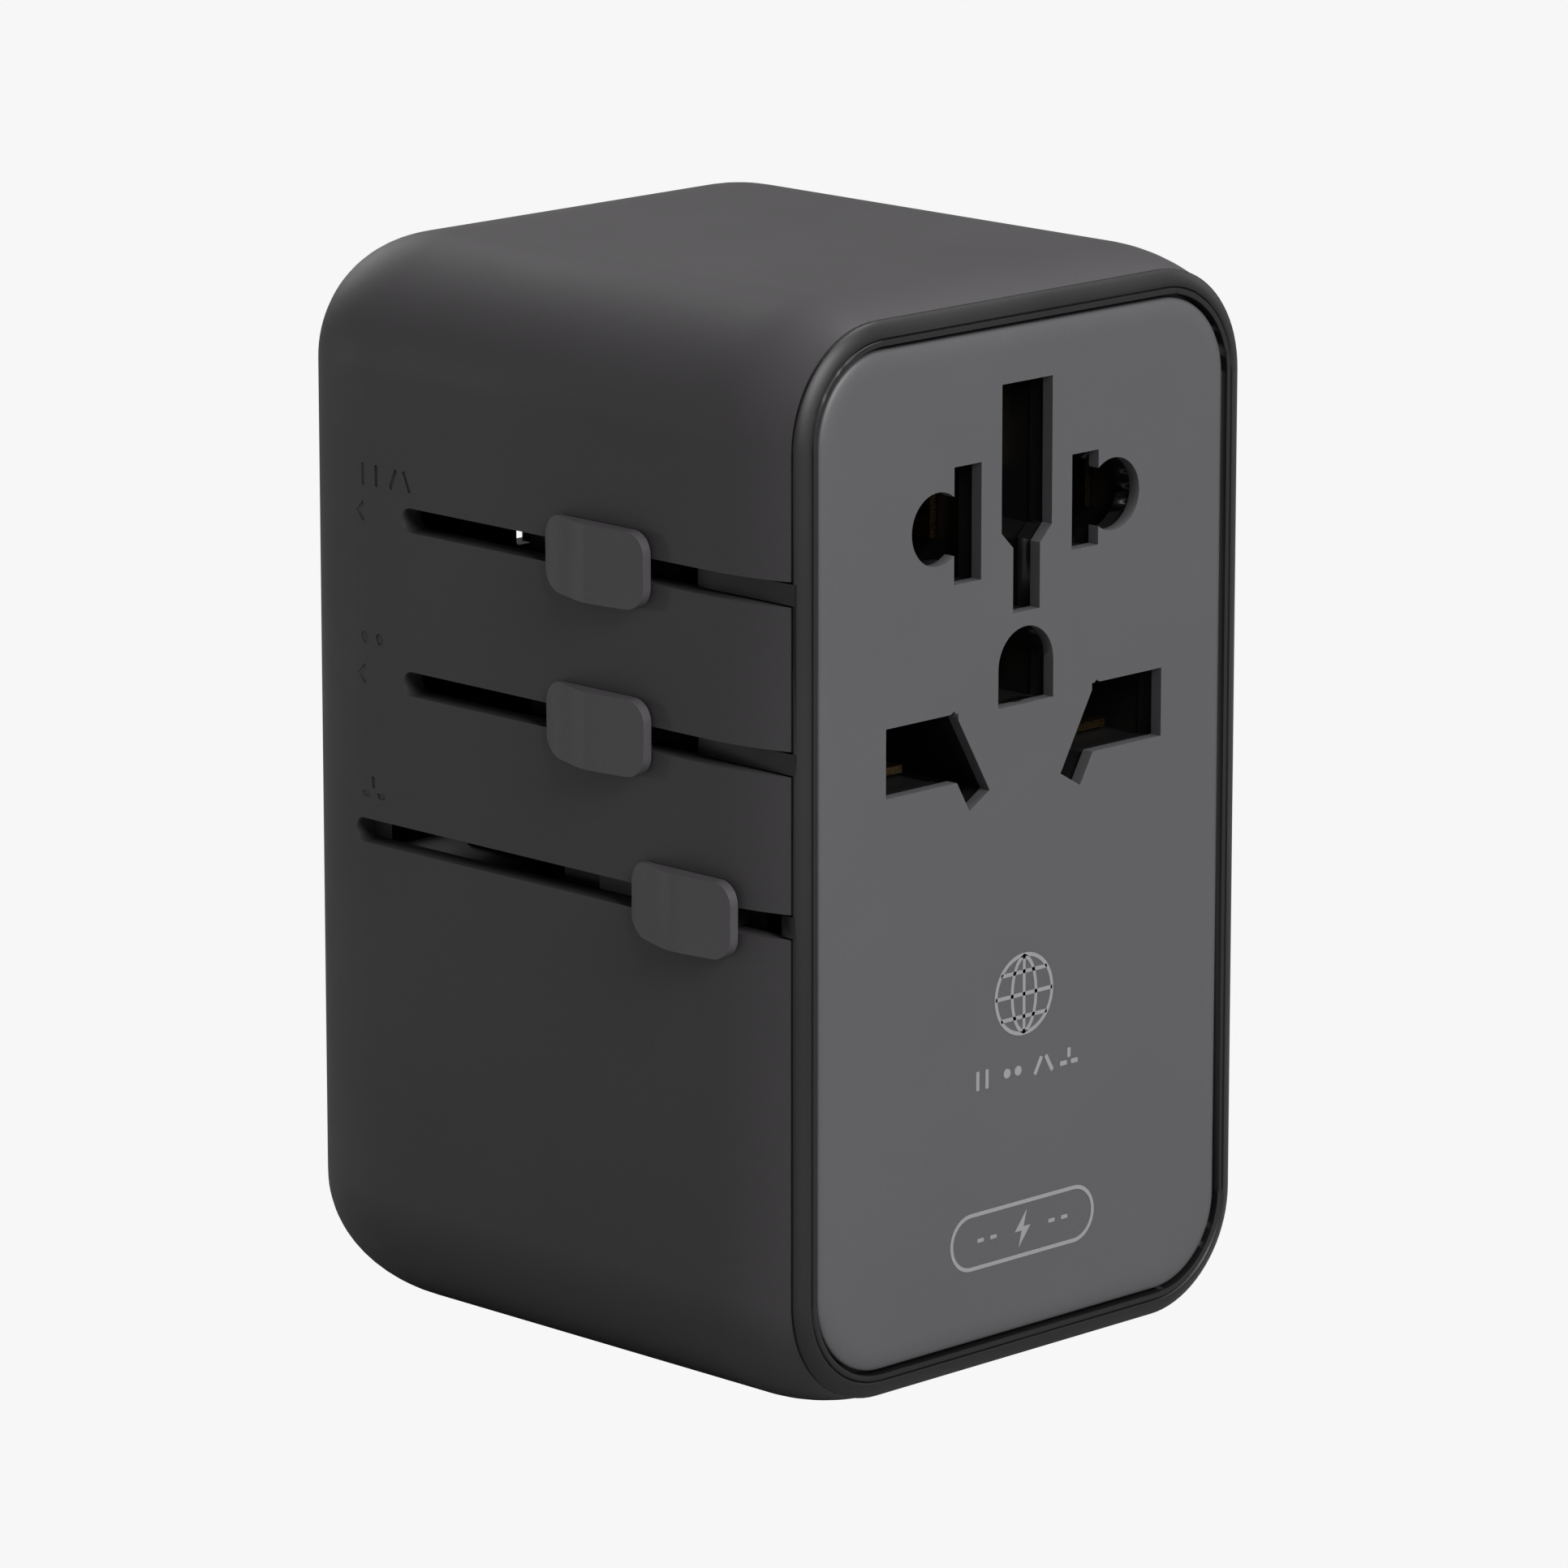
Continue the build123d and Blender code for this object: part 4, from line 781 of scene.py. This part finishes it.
class ADAPTER_OT_panel(bpy.types.Operator):
    """Mould the grey panel with its softened edge and its socket openings"""

    bl_idname = "adapter.panel"
    bl_label = "Panel"

    def execute(self, context):
        s = millimetres(context.scene.adapter_shell)
        f = millimetres(context.scene.adapter_front)
        width, height = cad_body_size()
        inset = s.front_in + f.slope_in + f.crease + f.land + f.gap
        mesh = bmesh.new()
        base = outline(mesh, width - 2 * inset, height - 2 * inset, s.edge_radius - inset,
                       at_front(0, f.panel, height / 2), 18)
        cap = pull(mesh, base, (0, -(f.panel - f.pillow_drop), 0))
        bmesh.ops.recalc_face_normals(mesh, faces=mesh.faces)
        arc = [math.radians(90 * step / 8) for step in range(9)]
        for before, after in zip(arc, arc[1:]):
            step_in(mesh, cap, f.pillow_run * (math.cos(before) - math.cos(after)),
                    f.pillow_drop * (math.sin(after) - math.sin(before)))
        bmesh.ops.recalc_face_normals(mesh, faces=mesh.faces)
        piece = as_object(mesh, "panel")
        combine(piece, socket_cutters(0, -1, f.panel + 1), "DIFFERENCE")
        finish_piece(piece, "housing", FINISHES["panel_plastic"], ("front_panel",), 0.1)
        return {"FINISHED"}


class ADAPTER_OT_print(bpy.types.Operator):
    """Print plain pictures on the panel: a globe, a row of pin pictures and a framed lightning mark"""

    bl_idname = "adapter.print"
    bl_label = "Printed marks"

    def execute(self, context):
        f = millimetres(context.scene.adapter_front)
        self.line, self.thick = f.line, f.print
        self.mesh = bmesh.new()
        self.ring(0, 29.8, 6.4, 6.4, 3.19, 24)
        self.ring(0, 29.8, 2.9, 6.1, 1.449, 24, squeeze=True)
        self.bar(0, 29.8, 6.2, self.line)
        for lift in (-1.75, 1.75):
            self.bar(0, 29.8 + lift, 5.0, self.line)
        self.bar(0, 29.8, self.line, 6.2)
        for x in (-5.0, -4.0):
            self.bar(x, 23.9, 0.34, 1.5)
        for x in (-1.8, -0.6):
            self.bar(x, 23.9, 0.75, 0.75, 0.37)
        for x, turn in ((1.6, -30), (2.8, 30)):
            self.bar(x, 23.9, 0.34, 1.5, turn=turn)
        for x in (4.4, 5.6):
            self.bar(x, 23.55, 0.75, 0.36)
        self.bar(5.0, 24.3, 0.36, 0.75)
        self.ring(0, 11.4, 15.8, 4.5, 2.24, 12)
        self.bolt(0, 11.4)
        for x in (-4.6, -3.2, 3.2, 4.6):
            self.bar(x, 11.4, 0.7, 0.3)
        piece = as_object(self.mesh, "printed_marks")
        finish_piece(piece, "housing", FINISHES["ink"])
        return {"FINISHED"}

    def lay(self, faces, turn, x, z):
        """Gives flat marks their thickness and lays them on the panel."""
        verts = list({vert for face in faces for vert in face.verts})
        made = bmesh.ops.extrude_face_region(self.mesh, geom=faces)["geom"]
        lifted = [g for g in made if isinstance(g, bmesh.types.BMVert)]
        bmesh.ops.translate(self.mesh, vec=(0, 0, self.thick), verts=lifted)
        bmesh.ops.transform(self.mesh, matrix=at_front(x, 0, z, turn), verts=verts + lifted)
        bmesh.ops.recalc_face_normals(self.mesh, faces=list({face for vert in verts for face in vert.link_faces}))

    def bar(self, x, z, wide, tall, radius=0.08, turn=0.0):
        """One solid stroke."""
        face = outline(self.mesh, wide, tall, radius, Matrix.Identity(4), 6)
        self.lay([face], turn, x, z)

    def ring(self, x, z, wide, tall, radius, steps, squeeze=False):
        """One closed line: a rounded frame, or an ellipse where squeeze is set."""
        if squeeze:
            verts = bmesh.ops.create_circle(self.mesh, cap_ends=True, segments=48, radius=0.5)["verts"]
            bmesh.ops.scale(self.mesh, vec=(wide, tall, 1), verts=verts)
            face = verts[0].link_faces[0]
        else:
            face = outline(self.mesh, wide, tall, radius, Matrix.Identity(4), steps)
        around = bmesh.ops.inset_region(self.mesh, faces=[face], thickness=self.line, use_even_offset=True,
                                        use_boundary=True)["faces"]
        bmesh.ops.delete(self.mesh, geom=[face], context="FACES_ONLY")
        self.lay(around, 0.0, x, z)

    def bolt(self, x, z):
        """A lightning mark."""
        spots = ((0.45, 1.45), (-0.85, -0.15), (-0.1, -0.15), (-0.45, -1.45), (0.85, 0.15), (0.1, 0.15))
        face = self.mesh.faces.new([self.mesh.verts.new((px, pz, 0)) for px, pz in spots])
        self.lay([face], 0.0, x, z)


class ADAPTER_OT_knobs(bpy.types.Operator):
    """Mould the three slider knobs: a rounded thumb rest that sweeps down to the shell at its back"""

    bl_idname = "adapter.knobs"
    bl_label = "Knobs"

    def execute(self, context):
        k = millimetres(context.scene.adapter_knob)
        for name in ("us", "eu", "uk"):
            low, high = corners_of(f"{name}_knob")
            middle = (low + high) / 2
            place = Matrix.Translation((high.x, middle.y, middle.z)) @ FACING_SIDE
            long, tall, stand = high.y - low.y, high.z - low.z, high.x - low.x
            piece = as_object(plate(long, tall, k.corner, stand + 1, place, 8), f"{name}_slider_knob")
            combine(piece, [self.section(k, low, high)], "INTERSECT")
            stem_low, stem_high = corners_of(f"{name}_carriage")
            well = block((stem_low.x - 0.03, low.y + 1.15, middle.z - 0.8),
                         (high.x + 1, low.y + 7.25, middle.z + 0.8))
            combine(piece, [well], "DIFFERENCE")
            finish_piece(piece, f"{name}_slider", FINISHES["knob_plastic"], (f"{name}_knob",),
                         k.edge, 4, 42.0)
        return {"FINISHED"}

    def section(self, k, low, high):
        """The knob's side view, pulled across its height: front, crest and the sweep behind it."""
        mesh = bmesh.new()
        crest = low.y + k.crest
        spots = [(high.x, low.y - 1), (low.x + k.front_drop * (1 + 1 / k.crest), low.y - 1)]
        for step in range(13):
            along = step / 12
            fall = along * along * (3 - 2 * along)
            spots.append((low.x + (high.x - low.x - k.thin_end) * fall, crest + (high.y - crest) * along))
        spots += [(high.x - k.thin_end, high.y + 1), (high.x, high.y + 1)]
        verts = [mesh.verts.new((x, y, low.z - 1)) for x, y in spots]
        face = mesh.faces.new(verts)
        bmesh.ops.bevel(mesh, geom=[verts[2]], offset=0.8, offset_type="OFFSET", segments=4, profile=0.5,
                        affect="VERTICES", material=-1, clamp_overlap=False)
        face = next(iter(mesh.faces))
        pull(mesh, face, (0, 0, high.z - low.z + 2))
        bmesh.ops.recalc_face_normals(mesh, faces=mesh.faces)
        return mesh


class ADAPTER_OT_studio(bpy.types.Operator):
    """Set the pale floor, the soft lights and the camera"""

    bl_idname = "adapter.studio"
    bl_label = "Studio"

    def execute(self, context):
        scene = context.scene
        studio = scene.adapter_studio
        scene.view_settings.view_transform = "Standard"
        self.floor(scene)
        self.world(scene)
        lamps = (
            ("front_softbox", (-0.15, -0.9, 0.6), 0.6, 15.0),
            ("top_softbox", (0.35, -0.15, 0.95), 0.6, 7.0),
            ("side_key", (-0.42, 0.72, 0.06), 0.09, 0.35),
            ("left_softbox", (-1.0, -0.45, 0.1), 0.5, 0.2),
            ("right_softbox", (0.95, -0.2, 0.4), 0.5, 1.0),
            ("back_softbox", (0.3, 1.0, 0.5), 0.6, 2.0),
        )
        for name, spot, size, power in lamps:
            data = bpy.data.lights.new(name, "AREA")
            data.shape = "DISK"
            data.size = size
            data.energy = power
            lamp = bpy.data.objects.new(name, data)
            lamp.location = spot
            aim = Vector((0, 0, 0.042)) - Vector(spot)
            lamp.rotation_euler = aim.to_track_quat("-Z", "Y").to_euler()
            scene.collection.objects.link(lamp)
        data = bpy.data.cameras.new("camera")
        data.lens = studio.lens
        data.sensor_width = 36.0
        data.clip_start = 0.01
        camera = bpy.data.objects.new("camera", data)
        camera.location = studio.eye
        flat = math.cos(studio.dip)
        ahead = Vector((flat * math.sin(studio.turn), flat * math.cos(studio.turn), -math.sin(studio.dip)))
        camera.rotation_euler = ahead.to_track_quat("-Z", "Y").to_euler()
        scene.collection.objects.link(camera)
        scene.camera = camera
        return {"FINISHED"}

    def floor(self, scene):
        """A wide matt floor under the adapter."""
        mesh = bmesh.new()
        bmesh.ops.create_grid(mesh, x_segments=8, y_segments=8, size=3.0, matrix=Matrix.Translation((0, 0, -0.0002)))
        floor = as_object(mesh, "floor")
        material, tree, output, where = start_material("matt_paper")
        tone = rgba(scene.adapter_colours.floor)
        # Coated paper, lit evenly: mostly its own soft glow, so that it meets the backdrop without an edge
        fibre = add_node(tree, "ShaderNodeTexNoise", {"Vector": where, "Scale": MM / 2.0, "Detail": 2.0})
        tint = add_node(tree, "ShaderNodeMix", {0: fibre.outputs["Fac"], 6: shade(tone, 0.995), 7: shade(tone, 1.005)},
                        data_type="RGBA")
        glow = add_node(tree, "ShaderNodeEmission", {"Color": tint.outputs[2], "Strength": 1.0})
        paper = add_node(tree, "ShaderNodeBsdfDiffuse", {"Color": (0.3, 0.3, 0.3, 1)})
        seen = add_node(tree, "ShaderNodeLightPath")
        mix = add_node(tree, "ShaderNodeMixShader", {0: seen.outputs["Is Camera Ray"], 1: paper.outputs[0],
                                                     2: glow.outputs[0]})
        tree.links.new(mix.outputs[0], output.inputs["Surface"])
        floor.data.materials.append(material)

    def world(self, scene):
        """An even pale backdrop that lights the adapter only faintly."""
        world = bpy.data.worlds.new("backdrop")
        scene.world = world
        world.use_nodes = True
        tree = world.node_tree
        tree.nodes.clear()
        output = add_node(tree, "ShaderNodeOutputWorld")
        tone = rgba(scene.adapter_colours.floor)
        seen = add_node(tree, "ShaderNodeLightPath")
        near = add_node(tree, "ShaderNodeBackground", {"Color": tone, "Strength": 0.26})
        far = add_node(tree, "ShaderNodeBackground", {"Color": tone, "Strength": 1.0})
        mix = add_node(tree, "ShaderNodeMixShader", {0: seen.outputs["Is Camera Ray"], 1: near.outputs[0],
                                                     2: far.outputs[0]})
        tree.links.new(mix.outputs[0], output.inputs["Surface"])


class ADAPTER_PT_sidebar(bpy.types.Panel):
    """Lists the adapter's pieces and their sizes"""

    bl_idname = "ADAPTER_PT_sidebar"
    bl_label = "Travel adapter"
    bl_space_type = "VIEW_3D"
    bl_region_type = "UI"
    bl_category = "Adapter"

    def draw(self, context):
        layout = self.layout
        for operator in OPERATORS:
            layout.operator(operator.bl_idname)
        for group, kind in GROUPS.items():
            box = layout.box()
            box.label(text=kind.__doc__)
            for name in kind.__annotations__:
                box.prop(getattr(context.scene, group), name)


GROUPS = {
    "adapter_shell": ShellSizes,
    "adapter_front": FrontSizes,
    "adapter_socket": SocketSizes,
    "adapter_knob": KnobSizes,
    "adapter_colours": Colours,
    "adapter_studio": StudioSettings,
}
OPERATORS = (
    ADAPTER_OT_studio,
    ADAPTER_OT_finishes,
    ADAPTER_OT_shell,
    ADAPTER_OT_rim,
    ADAPTER_OT_panel,
    ADAPTER_OT_print,
    ADAPTER_OT_knobs,
)


def register():
    for kind in (*GROUPS.values(), *OPERATORS, ADAPTER_PT_sidebar):
        bpy.utils.register_class(kind)
    for name, kind in GROUPS.items():
        setattr(bpy.types.Scene, name, PointerProperty(type=kind))


def unregister():
    for name in GROUPS:
        delattr(bpy.types.Scene, name)
    for kind in reversed((*GROUPS.values(), *OPERATORS, ADAPTER_PT_sidebar)):
        bpy.utils.unregister_class(kind)


def main():
    register()
    bpy.ops.adapter.studio()
    bpy.ops.adapter.finishes()
    bpy.ops.adapter.shell()
    bpy.ops.adapter.rim()
    bpy.ops.adapter.panel()
    bpy.ops.adapter.print()
    bpy.ops.adapter.knobs()


if __name__ == "__main__":
    main()
